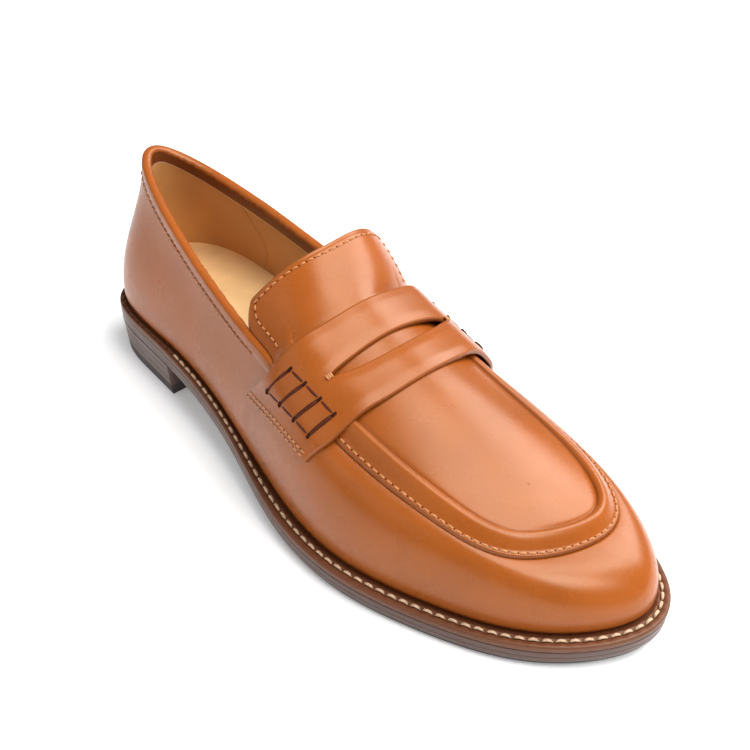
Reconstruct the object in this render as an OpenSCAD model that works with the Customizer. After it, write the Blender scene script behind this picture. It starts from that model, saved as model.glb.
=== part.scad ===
// Penny loafer, right foot. +X to the toe, -Y to the outer side, +Z up, ground at z = 0.

/* [Overall] */
// Length of the outsole from heel to toe
shoe_length = 300; // [240:1:360]
// Width of the outsole across the ball of the foot
ball_width = 118; // [94:1:142]
// Height of the upper at the back of the heel, above the welt
back_height = 72; // [58:1:88]

/* [Sole] */
// Thickness of the rubber layer under the forefoot
rubber_thickness = 2; // [1:0.1:4]
// Thickness of the leather outsole
outsole_thickness = 5.6; // [4:0.1:8]
// Thickness of the welt
welt_thickness = 3; // [2:0.1:5]
// How far the welt stands out from the upper round the forefoot
welt_reach_front = 6; // [4:0.1:8]
// How far the welt stands out from the upper at the waist
welt_reach_waist = 4; // [3:0.1:6]
// How far the rand stands out from the upper at the heel
welt_reach_heel = 3; // [2:0.1:5]
// Inset of the rubber layer from the outsole's edge
rubber_inset = 1.2; // [0.5:0.1:2]
// How far the toe springs up from the ground
toe_spring = 3; // [1:0.5:8]

/* [Heel] */
// Height of the ground under the waist end of the heel seat
heel_rise = 15; // [10:0.5:25]
// Length of the heel block from the back to its breast
heel_length = 62; // [50:1:76]
// Thickness of the rubber top piece that meets the ground
top_piece_thickness = 5; // [3:0.5:8]
// Inset of the heel at the ground
heel_taper = 1.8; // [0.5:0.1:4]
// Radius of a heel nail
nail_radius = 0.9; // [0.6:0.1:1.4]

/* [Upper] */
// Thickness of the upper leather
upper_thickness = 1.5; // [1:0.1:2.2]
// Thickness of the stiffeners between upper and lining
stiffener_thickness = 0.7; // [0.4:0.1:1.2]
// Thickness of the lining leather
lining_thickness = 0.9; // [0.6:0.1:1.4]
// Depth of the collar facing inside the topline
facing_depth = 6.6; // [5:0.1:9]
// Width of the raised bead along the apron's edge
bead_width = 7; // [5:0.5:10]
// Height of the raised bead
bead_height = 2.5; // [1:0.1:4]
// Distance from the apron's cut edge to the bead
bead_margin = 2; // [1:0.5:3]

/* [Strap] */
// Thickness of the saddle strap
strap_thickness = 2; // [1.2:0.1:3]
// Length of the penny slot
slot_length = 61; // [44:1:74]
// Width of the penny slot at its middle
slot_width = 7; // [3:0.5:10]

/* [Inside] */
// Thickness of the insole board
insole_thickness = 2.5; // [1.5:0.1:4]
// Thickness of the sock liner
sock_thickness = 1; // [0.6:0.1:2]
// Thickness of the foam pad under the sock liner's heel
pad_thickness = 8; // [6:0.5:10]
// Width of the steel shank
shank_width = 14; // [8:1:20]
// Thickness of the steel shank
shank_thickness = 1; // [0.6:0.1:1.6]

/* [Stitching] */
// Distance between stitches on the welt
welt_pitch = 5; // [3:0.5:8]
// Distance between machine stitches on the upper
fine_pitch = 3.5; // [2:0.5:6]
// Radius of the welt thread
welt_thread = 0.6; // [0.4:0.1:0.9]
// Radius of the fine thread
fine_thread = 0.35; // [0.2:0.05:0.5]
// Radius of the hand-sewn lace on the strap
lace_radius = 0.9; // [0.5:0.1:1.4]

/* [Hidden] */

// The outlines below were laid out on a shoe of this length and width.
ref_length = 300;
ref_width = 118;
ref_back = 72;
kx = shoe_length / ref_length;
ky = ball_width / ref_width;
kz = back_height / ref_back;

// Eighteen stations run round the shoe from the back of the heel along the outer side to
// the toe (station 9) and back along the inner side. Each is a control point of a closed
// curve. The feather line is where the upper meets the welt, as [x, y].
feather_points = [
    [3, -1.2], [9.4, -25.4], [34, -31], [80, -33], [120, -41], [160, -52],
    [200, -57.5], [241, -45], [278, -29], [303.1, 7.3], [286.8, 29.6], [256, 42.1],
    [213.4, 49], [174, 40.5], [130, 27.4], [84, 28], [36, 33], [9.8, 22.4]];
// The upper edge of the side wall, topline then apron seam, as [x, y, height above welt].
brim_points = [
    [12.1, -1.5, 72.3], [16.1, -10.4, 70], [39.3, -18.7, 60.6], [77.3, -27.5, 49.6], [118.4, -35.3, 49.5],
    [151, -41, 52], [191, -44, 41], [236, -38, 32.4], [263, -29, 26.3], [277.8, 12.6, 23.4],
    [264.3, 31.6, 24.4], [236.5, 39.6, 29], [194.7, 36, 37.5], [157.8, 36.3, 48.7], [116.7, 29.8, 48.2],
    [78.6, 26, 50.7], [33.5, 21.4, 58.8], [14.3, 8.6, 68.4]];
stations = len(feather_points);
toe_station = stations / 2;

// Height of the apron's underside on its centre line above the welt, every 25 mm from 100.
ridge_start = 100;
ridge_step = 25;
ridge_heights = [88, 79.5, 68.5, 61, 53.5, 44, 34.5, 24, 11.5];
// Drop of the apron per square millimetre off the centre line, at the same places.
ridge_drops = [0.013, 0.012, 0.0105, 0.0085, 0.0078, 0.006, 0.005, 0.004, 0.004];
apron_middle = -1.5 * ky;

// Places along the length, measured from the back of the heel.
waist_end = 183 * kx;
heel_seat_end = 57 * kx;
spring_start = 235 * kx;
rubber_start = 96 * kx;
rand_end = 66 * kx;
profile_step = 6 * kx;

sole_thickness = rubber_thickness + outsole_thickness;
edge_thickness = sole_thickness + welt_thickness;
wall_thickness = upper_thickness + stiffener_thickness + lining_thickness;
cork_thickness = 4;
insole_level = sole_thickness + cork_thickness;
sock_level = insole_level + insole_thickness;

// The side wall is a grid of rings of this many columns, and rows up from the welt.
columns = 72;
per_station = columns / stations;
wall_rows = [0, 0.13, 0.28, 0.45, 0.62, 0.79, 0.91, 1];
row_count = len(wall_rows);
binding_drop = 1.3;
// Columns where the strap's cover begins and ends: topline behind, apron seam in front.
seam_first = 19;
seam_last = 53;

function smooth(v) = let(c = min(1, max(0, v))) c * c * (3 - 2 * c);
function mix(a, b, f) = a + (b - a) * f;
function last(v) = v[len(v) - 1];
function unit(v) = v / max(norm(v), 1e-9);

// Weights of a uniform cubic B-spline at the fraction f between two control points.
function weights(f) = [pow(1 - f, 3) / 6, (3 * pow(f, 3) - 6 * f * f + 4) / 6,
    (-3 * pow(f, 3) + 3 * f * f + 3 * f + 1) / 6, pow(f, 3) / 6];
function wrap(i, n) = ((i % n) + n) % n;
function closed_curve(c, u) = let(i = floor(u), w = weights(u - i), n = len(c))
    w[0] * c[wrap(i - 1, n)] + w[1] * c[wrap(i, n)] + w[2] * c[wrap(i + 1, n)]
    + w[3] * c[wrap(i + 2, n)];
function held(c, i) = let(n = len(c)) i < 0 ? 2 * c[0] - c[1]
    : i >= n ? 2 * c[n - 1] - c[n - 2] : c[i];
function open_curve(c, u) = let(i = floor(u), w = weights(u - i))
    w[0] * held(c, i - 1) + w[1] * held(c, i) + w[2] * held(c, i + 1) + w[3] * held(c, i + 2);

// Height of the sole's underside: raised on the heel, flat under the ball, sprung at the toe.
function sole_z(x) = heel_rise * smooth((waist_end - x) / (waist_end - heel_seat_end))
    + toe_spring * pow(max(0, x - spring_start) / (shoe_length - spring_start), 2);
function welt_z(x) = sole_z(x) + edge_thickness;

function plan(p) = [p.x * kx, p.y * ky];
function feather(u) = plan(closed_curve(feather_points, u));
function inward(a, b) = let(t = unit(b - a)) [-t.y, t.x];
function feather_inward(u) = inward(feather(u - 0.1), feather(u + 0.1));
function brim(u) = let(p = closed_curve(brim_points, u), q = plan(p))
    [q.x, q.y, welt_z(q.x) + p.z * kz];
function brim_inward(u) = let(a = brim(u - 0.1), b = brim(u + 0.1))
    inward([a.x, a.y], [b.x, b.y]);

// The side wall between feather line and brim is a cubic Bezier, upright at the welt and
// leaning in at the top. Quarters are taller and flatter than the vamp.
function wall_point(u, row) = let(
    f = feather(u), low = [f.x, f.y, welt_z(f.x)], top = brim(u),
    high = [top.x, top.y, top.z - binding_drop * (1 - front_share(u))],
    rise = high.z - low.z, reach = [low.x - high.x, low.y - high.y, 0],
    out = -feather_inward(u), v = smooth((f.x - 110 * kx) / (70 * kx)),
    c1 = low + [0, 0, mix(0.4, 0.65, v) * rise] + mix(3, 2.5, v) * [out.x, out.y, 0],
    c2 = high + mix(0.2, 0.55, v) * reach - [0, 0, mix(0.35, 0.05, v) * rise],
    s = 1 - row)
    s * s * s * low + 3 * s * s * row * c1 + 3 * s * row * row * c2 + row * row * row * high;
// One where the apron meets the wall, nought along the open topline.
function front_share(u) = smooth((min(u, stations - u) - 4) / 0.7);
function station_of(column) = wrap(column, columns) / per_station;

wall_face = [for (i = [0 : columns - 1]) [for (r = wall_rows) wall_point(station_of(i), r)]];

// Normal of a grid of points that is closed along its first index.
function ring_normal(g, i, j) = let(n = len(g), m = len(g[0]) - 1,
    a = g[wrap(i + 1, n)][j] - g[wrap(i - 1, n)][j],
    b = g[i][min(m, j + 1)] - g[i][max(0, j - 1)]) unit(cross(a, b));
wall_normals = [for (i = [0 : columns - 1]) [for (j = [0 : row_count - 1])
    ring_normal(wall_face, i, j)]];
// The wall's surface at a depth below its outer face, with a foot that drops to the outsole.
function wall_layer(depth) = [for (i = [0 : columns - 1]) let(
    skin = [for (j = [0 : row_count - 1]) wall_face[i][j] - depth * wall_normals[i][j]],
    foot = skin[0]) concat([[foot.x, foot.y, sole_z(foot.x) + sole_thickness]], skin)];
layer_out = wall_layer(0);
layer_upper = wall_layer(upper_thickness);
layer_stiff = wall_layer(upper_thickness + stiffener_thickness);
layer_in = wall_layer(wall_thickness);
function cut_columns(g, a, b) = [for (i = [a : b]) g[wrap(i, columns)]];
function cut_rows(g, a, b) = [for (c = g) [for (j = [a : b]) c[j]]];

// A closed solid between two matching grids, outer first, both open along both indices.
module plate(outer, inner) {
    n = len(outer);
    m = len(outer[0]);
    total = n * m;
    points = concat([for (c = outer) for (p = c) p], [for (c = inner) for (p = c) p]);
    rim = concat([for (i = [0 : n - 1]) i * m], [for (j = [1 : m - 1]) (n - 1) * m + j],
        [for (i = [n - 2 : -1 : 0]) i * m + m - 1], [for (j = [m - 2 : -1 : 1]) j]);
    sheet = [for (i = [0 : n - 2]) for (j = [0 : m - 2]) let(a = i * m + j)
        each [[a, a + m + 1, a + m], [a, a + 1, a + m + 1]]];
    polyhedron(points, shell_faces(sheet, [rim], total));
}
// Faces of a shell: a sheet of triangles, its back at the offset, and a wall round each rim.
function shell_faces(sheet, rims, total) = concat(sheet,
    [for (t = sheet) [t[0] + total, t[2] + total, t[1] + total]],
    [for (rim = rims) for (k = [0 : len(rim) - 1])
        let(a = rim[k], b = rim[(k + 1) % len(rim)])
        each [[a, b, b + total], [a, b + total, a + total]]]);
// A tube of given cross-sections, each a loop of points, closed by end caps.
module swept(loops) {
    n = len(loops);
    m = len(loops[0]);
    sides = [for (i = [0 : n - 2]) for (j = [0 : m - 1]) let(a = i * m + j,
        b = i * m + (j + 1) % m) each [[a, a + m, b + m], [a, b + m, b]]];
    caps = [[for (j = [0 : m - 1]) j], [for (j = [m - 1 : -1 : 0]) (n - 1) * m + j]];
    polyhedron([for (l = loops) for (p = l) p], concat(sides, caps));
}

// Places the shoe so that the middle of its outsole stands on the origin.
outline_steps = 72;
function outline(reach) = [for (k = [0 : outline_steps - 1])
    let(u = k * stations / outline_steps) feather(u) - reach * feather_inward(u)];
function sole_reach(x) = let(front = smooth((x - 110 * kx) / (60 * kx)),
    heel = smooth((80 * kx - x) / (40 * kx)))
    mix(mix(welt_reach_waist, welt_reach_heel, heel), welt_reach_front, front);
function sole_outline(inset) = [for (k = [0 : outline_steps - 1])
    let(u = k * stations / outline_steps, f = feather(u))
    f - (sole_reach(f.x) - inset) * feather_inward(u)];
sole_edge = sole_outline(0);
middle_x = (max([for (p = sole_edge) p.x]) + min([for (p = sole_edge) p.x])) / 2;
middle_y = (max([for (p = sole_edge) p.y]) + min([for (p = sole_edge) p.y])) / 2;
module placed() {
    translate([-middle_x, -middle_y, 0]) children();
}

// A slab that follows the sole's side profile between two levels above its underside. Every
// slab is cut at the same stops along the length, so that layers meet face to face.
profile_start = -20;
profile_end = shoe_length + 20;
profile_steps = ceil((profile_end - profile_start) / profile_step);
profile_stops = [for (k = [0 : profile_steps])
    mix(profile_start, profile_end, k / profile_steps)];
module side_profile(low, high, from, to) {
    low_line = [for (x = profile_stops) [x, low(x)]];
    high_line = [for (x = profile_stops) [x, high(x)]];
    kept = concat([from], [for (x = profile_stops) if (x > from && x < to) x], [to]);
    last = len(kept) - 1;
    translate([0, ball_width, 0]) rotate([90, 0, 0]) linear_extrude(2 * ball_width)
        polygon(concat([for (x = kept) [x, lookup(x, low_line)]],
            [for (k = [last : -1 : 0]) [kept[k], lookup(kept[k], high_line)]]));
}
module profile(low, high, from = profile_start, to = profile_end) {
    side_profile(function(x) sole_z(x) + low, function(x) sole_z(x) + high, from, to);
}
module slab(shape, low, high, from = profile_start, to = profile_end) {
    intersection() {
        linear_extrude(2 * back_height) polygon(shape);
        profile(low, high, from, to);
    }
}

module vamp() {
    color("peru") placed() plate(cut_columns(layer_out, 1, columns - 1),
        cut_columns(layer_upper, 1, columns - 1));
}
module backstay() {
    color("sienna") placed() plate(cut_columns(layer_out, -1, 1),
        cut_columns(layer_upper, -1, 1));
}
module toe_puff() {
    color("wheat") placed() plate(cut_columns(layer_upper, 26, 46),
        cut_columns(layer_stiff, 26, 46));
}
module heel_counter() {
    top = row_count - 1;
    color("wheat") placed() plate(cut_rows(cut_columns(layer_upper, -12, 12), 0, top),
        cut_rows(cut_columns(layer_stiff, -12, 12), 0, top));
}
module side_backer(first, last) {
    color("beige") placed() plate(cut_columns(layer_upper, first, last),
        cut_columns(layer_stiff, first, last));
}
module side_backer_outer() {
    side_backer(12, 26);
}
module side_backer_inner() {
    side_backer(46, 60);
}
module lining(first, last) {
    color("burlywood") placed() plate(cut_columns(layer_stiff, first, last),
        cut_columns(layer_in, first, last));
}
module vamp_lining() {
    lining(17, 55);
}
module quarter_lining_outer() {
    lining(9, 17);
}
module quarter_lining_inner() {
    lining(55, 63);
}
module heel_grip() {
    lining(-9, 9);
}

// Direction up the wall at the brim, and out of it, at a column.
function brim_up(i) = let(c = wall_face[wrap(i, columns)])
    unit(c[row_count - 1] - c[row_count - 2]);
function brim_out(i) = wall_normals[wrap(i, columns)][row_count - 1];
function brim_frame_point(i, out, up) = let(c = wrap(i, columns))
    wall_face[c][row_count - 1] + out * brim_out(c) + up * brim_up(c);
binding_leather = 0.8;
binding_depth = 4.2;
binding_turn = 1.4;
// The binding's section is a folded strip over the wall's edge, as [out, up] points.
binding_section = let(w = wall_thickness, b = binding_leather) concat(
    [[0, -binding_depth], [0, 0], [-w, 0], [-w, -binding_turn], [-w - b, -binding_turn]],
    [for (a = [180 : -36 : 0]) [-w / 2 + (w / 2 + b) * cos(a), binding_drop * sin(a)]],
    [[b, -binding_depth + 0.5]]);
module topline_binding() {
    color("peru") placed() swept([for (i = [-seam_first : seam_first])
        [for (p = binding_section) brim_frame_point(i, p.x, p.y)]]);
}
// The facing hangs inside the lining from under the binding.
module collar_facing() {
    gap = wall_thickness + 0.02;
    depths = [binding_turn, mix(binding_turn, facing_depth, 0.5), facing_depth];
    color("saddlebrown") placed() plate(
        [for (i = [-seam_first : seam_first]) [for (k = [2 : -1 : 0])
            inner_wall_point(i, depths[k], gap)]],
        [for (i = [-seam_first : seam_first]) [for (k = [2 : -1 : 0])
            inner_wall_point(i, depths[k], gap + binding_leather)]]);
}
// A point inside the wall, some way down from the brim along the wall's rows.
function inner_wall_point(i, down, depth) = let(c = wrap(i, columns), top = row_count - 1,
    total = wall_face[c][top].z - wall_face[c][0].z, row = 1 - down / total,
    p = wall_point(station_of(c), row), q = wall_point(station_of(c), row - 0.05),
    around = wall_face[wrap(c + 1, columns)][top] - wall_face[wrap(c - 1, columns)][top])
    p - depth * unit(cross(around, p - q));

// Underside of the apron as a height over the plan.
function ridge_share(x) = (x / kx - ridge_start) / ridge_step;
function ridge_z(x) = welt_z(x) + kz * open_curve(ridge_heights, ridge_share(x));
function ridge_drop(x) = open_curve(ridge_drops, ridge_share(x)) * kz / (ky * ky);
function apron_z(x, y) = ridge_z(x) - ridge_drop(x) * pow(y - apron_middle, 2);
// A point of the apron's underside at a distance in from the seam, and a share from there
// to the centre line.
band = [0, bead_margin, bead_margin + bead_width * 0.2, bead_margin + bead_width * 0.5,
    bead_margin + bead_width * 0.8, bead_margin + bead_width, bead_margin + bead_width + 4];
fan = [0.25, 0.5, 0.75, 1];
fade_end = 32;
spine_start = 152 * kx;
spine_end = 244 * kx;
function spine_x(u) = let(v = (toe_station - abs(u - toe_station)) - seam_first / per_station)
    mix(spine_start, spine_end,
        sin(90 * v / (toe_station - seam_first / per_station)));
function seam_error(u) = let(b = brim(u)) b.z - apron_z(b.x, b.y);
function apron_point(u, distance, share) = let(b = brim(u), n = brim_inward(u),
    p = [b.x, b.y] + distance * n, q = mix(p, [spine_x(u), apron_middle], share),
    d = mix(distance, fade_end, share))
    [q.x, q.y, apron_z(q.x, q.y) + seam_error(u) * pow(max(0, 1 - d / fade_end), 2)];
function bead(distance) = let(v = (distance - bead_margin) / bead_width)
    v > 0 && v < 1 ? bead_height * pow(sin(180 * v), 2) : 0;
function apron_column(u, lift, bands, raised) = concat(
    [for (d = bands) apron_point(u, d, 0) + [0, 0, lift + raised * bead(d)]],
    [for (s = fan) apron_point(u, last(bands), s) + [0, 0, lift]]);

// The tongue runs back from the strap as rows across, each an arch.
tongue_back = 127 * kx;
tongue_sweep = 8 * kx;
tongue_half = 36 * ky;
tongue_drop = 22.5 * kz;
tongue_shift = 4.6 * ky;
tongue_skew = 3.7 * kx;
tongue_tilt = 5.9 * kz;
tongue_rows = [0.25, 0.5, 0.7, 0.82, 0.91, 0.97, 1];
tongue_power = 2.75;
tongue_corner_start = 0.72;
tongue_corner_cut = 0.18;
function corner(s) = let(q = max(0, (s - tongue_corner_start) / (1 - tongue_corner_start)))
    1 - tongue_corner_cut * (1 - sqrt(max(0, 1 - q * q)));
function tongue_point(s, w) = let(
    x = mix(spine_start, tongue_back - tongue_sweep * w * w + tongue_skew * w, s),
    half = mix(brim(seam_last / per_station).y - apron_middle, tongue_half, smooth(s * 1.6)),
    drop = mix(16 * kz, tongue_drop, s), reach = corner(s) * w)
    [x, apron_middle + tongue_shift * s + half * reach,
    ridge_z(mix(spine_start, tongue_back, s)) - drop * pow(abs(reach), tongue_power)
    + tongue_tilt * s * reach];
// Columns of the first row are the apron's own cut edge, from outer seam to inner seam.
function cut_edge(lift, bands, raised) = let(
    a = apron_column(seam_first / per_station, lift, bands, raised),
    b = apron_column(seam_last / per_station, lift, bands, raised), n = len(a))
    concat(a, [for (k = [n - 2 : -1 : 0]) b[k]]);
function tongue_grid(lift, bands, raised) = let(edge = cut_edge(lift, bands, raised),
    m = len(edge)) [for (s = tongue_rows) [for (k = [0 : m - 1])
        let(w = 2 * k / (m - 1) - 1, p = tongue_point(s, w) + [0, 0, lift],
        gap = edge[k] - tongue_point(0, w) - [0, 0, lift]) p + gap * pow(1 - s, 3)]];

// The apron and tongue are one sheet of points and triangles, the front fan first. The last
// row of the fan is the centre line, which both halves share.
front_columns = seam_last - seam_first + 1;
function front_index(i, j, rows) = (j == rows - 1 && i > (front_columns - 1) / 2
    ? front_columns - 1 - i : i) * rows + j;
function tongue_index(r, k, rows) = r > 0
    ? front_columns * rows + (r - 1) * (2 * rows - 1) + k
    : k < rows ? front_index(0, k, rows) : front_index(front_columns - 1, 2 * rows - 2 - k, rows);
function quad(a, b, c, d) = concat(a == b || b == c ? [] : [[a, b, c]],
    c == d || d == a ? [] : [[a, c, d]]);
module apron_shell(top, bottom, bands, raised) {
    rows = len(bands) + len(fan);
    edge = 2 * rows - 2;
    back = len(tongue_rows);
    layers = [for (lift = [top, bottom]) concat(
        [for (i = [seam_first : seam_last])
            each apron_column(i / per_station, lift, bands, raised)],
        [for (row = tongue_grid(lift, bands, raised)) each row])];
    sheet = concat(
        [for (i = [0 : front_columns - 2]) for (j = [0 : rows - 2])
            each quad(front_index(i, j, rows), front_index(i, j + 1, rows),
                front_index(i + 1, j + 1, rows), front_index(i + 1, j, rows))],
        [for (r = [0 : back - 1]) for (k = [0 : edge - 1])
            each quad(tongue_index(r, k, rows), tongue_index(r + 1, k, rows),
                tongue_index(r + 1, k + 1, rows), tongue_index(r, k + 1, rows))]);
    rim = concat([for (i = [0 : front_columns - 1]) front_index(i, 0, rows)],
        [for (r = [1 : back]) tongue_index(r, edge, rows)],
        [for (k = [edge - 1 : -1 : 0]) tongue_index(back, k, rows)],
        [for (r = [back - 1 : -1 : 1]) tongue_index(r, 0, rows)]);
    polyhedron(concat(layers[0], layers[1]), shell_faces(sheet, [rim], len(layers[0])));
}
module apron() {
    color("chocolate") placed() apron_shell(upper_thickness, 0, band, 1);
}
// The lining stops short of the wall's own lining.
lining_band = [wall_thickness + 1.5, wall_thickness + 5, wall_thickness + 10];
lining_gap = 0.05;
module apron_lining() {
    color("burlywood") placed()
        apron_shell(-lining_gap, -lining_gap - lining_thickness, lining_band, 0);
}
// The cord under the bead, an oval that fits the bead's hollow.
cord_sides = 8;
module apron_cord() {
    half_width = bead_width * 0.19;
    half_height = bead_height * 0.36;
    color("khaki") placed() swept([for (i = [seam_first : seam_last])
        let(u = i / per_station, n = brim_inward(u),
        middle = apron_point(u, bead_margin + bead_width / 2, 0)
            + [0, 0, half_height + lining_gap])
        [for (k = [0 : cord_sides - 1]) let(a = -360 * k / cord_sides)
            middle - half_width * cos(a) * [n.x, n.y, 0] + [0, 0, half_height * sin(a)]]]);
}

// The saddle strap lies over the wall, the bead and the apron. Its underside follows
// thirteen points along the shoe's girth, on rows from its back edge to its front edge.
strap_foot = 0.515;
strap_gap = 0.15;
strap_back_u = [4.3, 4.84];
strap_front_u = [5.5, 5.82];
strap_back_x = 152 * kx;
strap_front_x = 190 * kx;
strap_half = 39 * ky;
function wall_normal(u, row) = unit(cross(wall_point(u + 0.05, row) - wall_point(u - 0.05, row),
    wall_point(u, row + 0.03) - wall_point(u, row - 0.03)));
// Station of the strap's row c at a height on the outer wall; the inner side mirrors it.
function strap_u(c, row) = let(v = (row - strap_foot) / (1 - strap_foot))
    mix(mix(strap_back_u[0], strap_back_u[1], v), mix(strap_front_u[0], strap_front_u[1], v), c);
function strap_on_wall(side, c, row, lift) = let(u = strap_u(c, row),
    s = side < 0 ? u : stations - u + 0.05) wall_point(s, row) + lift * wall_normal(s, row);
function strap_on_apron(c, w, lift) = let(
    u = strap_u(c, 1), seam = w < 0 ? brim(u).x : brim(stations - u + 0.05).x,
    x = mix(seam, mix(strap_back_x, strap_front_x, c), 1 - w * w),
    y = apron_middle + w * strap_half) [x, y, apron_z(x, y) + lift];
strap_share = [0.8, 0.56, 0.28];
strap_lift = [upper_thickness + bead_height * 0.8, upper_thickness + 0.6,
    upper_thickness + strap_gap];
function strap_marks(c) = concat(
    [strap_on_wall(-1, c, strap_foot, strap_gap), strap_on_wall(-1, c, 0.72, strap_gap),
    strap_on_wall(-1, c, 0.93, upper_thickness + 0.6)],
    [for (k = [0 : 2]) strap_on_apron(c, -strap_share[k], strap_lift[k])],
    [strap_on_apron(c, 0, upper_thickness + strap_gap)],
    [for (k = [2 : -1 : 0]) strap_on_apron(c, strap_share[k], strap_lift[k])],
    [strap_on_wall(1, c, 0.93, upper_thickness + 0.6), strap_on_wall(1, c, 0.72, strap_gap),
    strap_on_wall(1, c, strap_foot, strap_gap)]);
// Control points that make the curve pass through its marks, to first order.
function through(p) = let(n = len(p)) [for (k = [0 : n - 1])
    k == 0 || k == n - 1 ? p[k] : p[k] - (p[k - 1] - 2 * p[k] + p[k + 1]) / 6];
strap_rows = [0, 0.22, 0.45, 0.72, 1];
strap_nets = [for (c = strap_rows) through(strap_marks(c))];
strap_last = len(strap_nets[0]) - 1;
function strap_point(v, c) = let(
    k = c < 0.22 ? 0 : c < 0.45 ? 1 : c < 0.72 ? 2 : 3,
    f = (c - strap_rows[k]) / (strap_rows[k + 1] - strap_rows[k]))
    mix(open_curve(strap_nets[k], v), open_curve(strap_nets[k + 1], v), f);
function strap_normal(v, c) = unit(cross(
    strap_point(v, min(1, c + 0.1)) - strap_point(v, max(0, c - 0.1)),
    strap_point(min(strap_last, v + 0.2), c) - strap_point(max(0, v - 0.2), c)));
// The penny slot is a lens on the strap's middle line.
slot_line = 0.51;
strap_breadth = 40 * kx;
slot_span = slot_length / 2 / (0.28 * strap_half);
slot_middle = strap_last / 2;
slot_steps = 12;
strap_steps = 10;
strap_stops = concat([for (k = [0 : strap_steps - 1]) k / strap_steps * (slot_middle - slot_span)],
    [for (k = [0 : slot_steps]) slot_middle - slot_span * cos(180 * k / slot_steps)],
    [for (k = [1 : strap_steps]) mix(slot_middle + slot_span, strap_last, k / strap_steps)]);
function slot_gap(v) = let(q = abs(v - slot_middle) / slot_span)
    q >= 1 ? 0 : slot_width / 2 / strap_breadth * pow(1 - q * q, 0.7);
module saddle_strap() {
    n = len(strap_stops);
    slot_from = strap_steps;
    slot_to = strap_steps + slot_steps;
    columns = [for (i = [0 : n - 1]) let(v = strap_stops[i],
        h = i > slot_from && i < slot_to ? slot_gap(v) : 0)
        [for (c = [0, 0.22, slot_line - h, slot_line + h, 0.72, 1]) [v, c]]];
    layers = [for (lift = [strap_thickness, 0]) [for (col = columns) for (q = col)
        strap_point(q[0], q[1]) + lift * strap_normal(q[0], q[1])]];
    function at(i, j) = i * 6 + (j == 3 && (i <= slot_from || i >= slot_to) ? 2 : j);
    sheet = [for (i = [0 : n - 2]) for (j = [0, 1, 3, 4])
        each quad(at(i, j), at(i + 1, j), at(i + 1, j + 1), at(i, j + 1))];
    rim = concat([for (j = [0, 1, 2, 4, 5]) at(0, j)], [for (i = [1 : n - 1]) at(i, 5)],
        [for (j = [4, 2, 1, 0]) at(n - 1, j)], [for (i = [n - 2 : -1 : 1]) at(i, 0)]);
    slot = concat([for (i = [slot_to : -1 : slot_from]) at(i, 3)],
        [for (i = [slot_from + 1 : slot_to - 1]) at(i, 2)]);
    color("chocolate") placed()
        polyhedron(concat(layers[0], layers[1]), shell_faces(sheet, [rim, slot], len(layers[0])));
}

// The bottom of the shoe, from the ground up.
module heel_block(low, high, inset) {
    intersection() {
        slab(sole_outline(inset), low - heel_rise, rubber_thickness, profile_start, heel_length);
        translate([profile_start, -ball_width, low])
            cube([heel_length - profile_start, 2 * ball_width, high - low]);
    }
}
nail_inset = 11;
nail_places = [for (u = [-1.9, -1, 0, 1, 1.9]) feather(wrap(u, stations))
    + nail_inset * feather_inward(wrap(u, stations))];
nail_foot = 0.6;
nail_top = heel_rise + rubber_thickness + outsole_thickness * 0.5;
module nails(radius) {
    for (p = nail_places) translate([p.x, p.y, nail_foot])
        cylinder(h = nail_top - nail_foot, r = radius, $fn = 16);
}
lift_thickness = (heel_rise + rubber_thickness - top_piece_thickness) / 3;
function lift_level(k) = top_piece_thickness + k * lift_thickness;
module heel_lift(k, high) {
    color(k % 2 == 0 ? "saddlebrown" : "sienna") placed() difference() {
        heel_block(lift_level(k), high, heel_taper * (1 - (k + 1) / 4));
        nails(nail_radius);
    }
}
module heel_lift_lower() {
    heel_lift(0, lift_level(1));
}
module heel_lift_middle() {
    heel_lift(1, lift_level(2));
}
module heel_lift_upper() {
    heel_lift(2, lift_level(3) + outsole_thickness);
}
module top_piece() {
    color("dimgray") placed() difference() {
        heel_block(0, top_piece_thickness, heel_taper);
        nails(nail_radius);
    }
}
module heel_nails() {
    color("silver") placed() nails(nail_radius);
}
module rubber_forepart() {
    color("dimgray") placed()
        slab(sole_outline(rubber_inset), 0, rubber_thickness, rubber_start);
}
module outsole() {
    color("saddlebrown") placed() difference() {
        slab(sole_edge, rubber_thickness, sole_thickness);
        nails(nail_radius);
    }
}
module welt_ring(from, to) {
    color("maroon") placed() difference() {
        slab(sole_edge, sole_thickness, edge_thickness, from, to);
        linear_extrude(2 * back_height) polygon(outline(0));
    }
}
module welt() {
    welt_ring(rand_end, profile_end);
}
module heel_rand() {
    welt_ring(profile_start, rand_end);
}
inner_gap = 0.2;
rib_width = 2;
module insole_board() {
    color("tan") placed()
        slab(outline(-wall_thickness - inner_gap), insole_level, sock_level);
}
module insole_rib() {
    color("linen") placed() difference() {
        slab(outline(-wall_thickness - inner_gap), sole_thickness, insole_level);
        linear_extrude(2 * back_height) polygon(outline(-wall_thickness - inner_gap - rib_width));
    }
}
shank_start = 58 * kx;
shank_end = 168 * kx;
module shank_shape(grow) {
    intersection() {
        profile(insole_level - shank_thickness - grow, insole_level);
        translate([shank_start - grow, -shank_width / 2 - grow, 0])
            cube([shank_end - shank_start + 2 * grow, shank_width + 2 * grow, back_height]);
    }
}
module shank() {
    color("lightsteelblue") placed() shank_shape(0);
}
module cork_filler() {
    color("rosybrown") placed() difference() {
        slab(outline(-wall_thickness - 2 * inner_gap - rib_width), sole_thickness, insole_level);
        shank_shape(inner_gap);
    }
}
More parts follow.
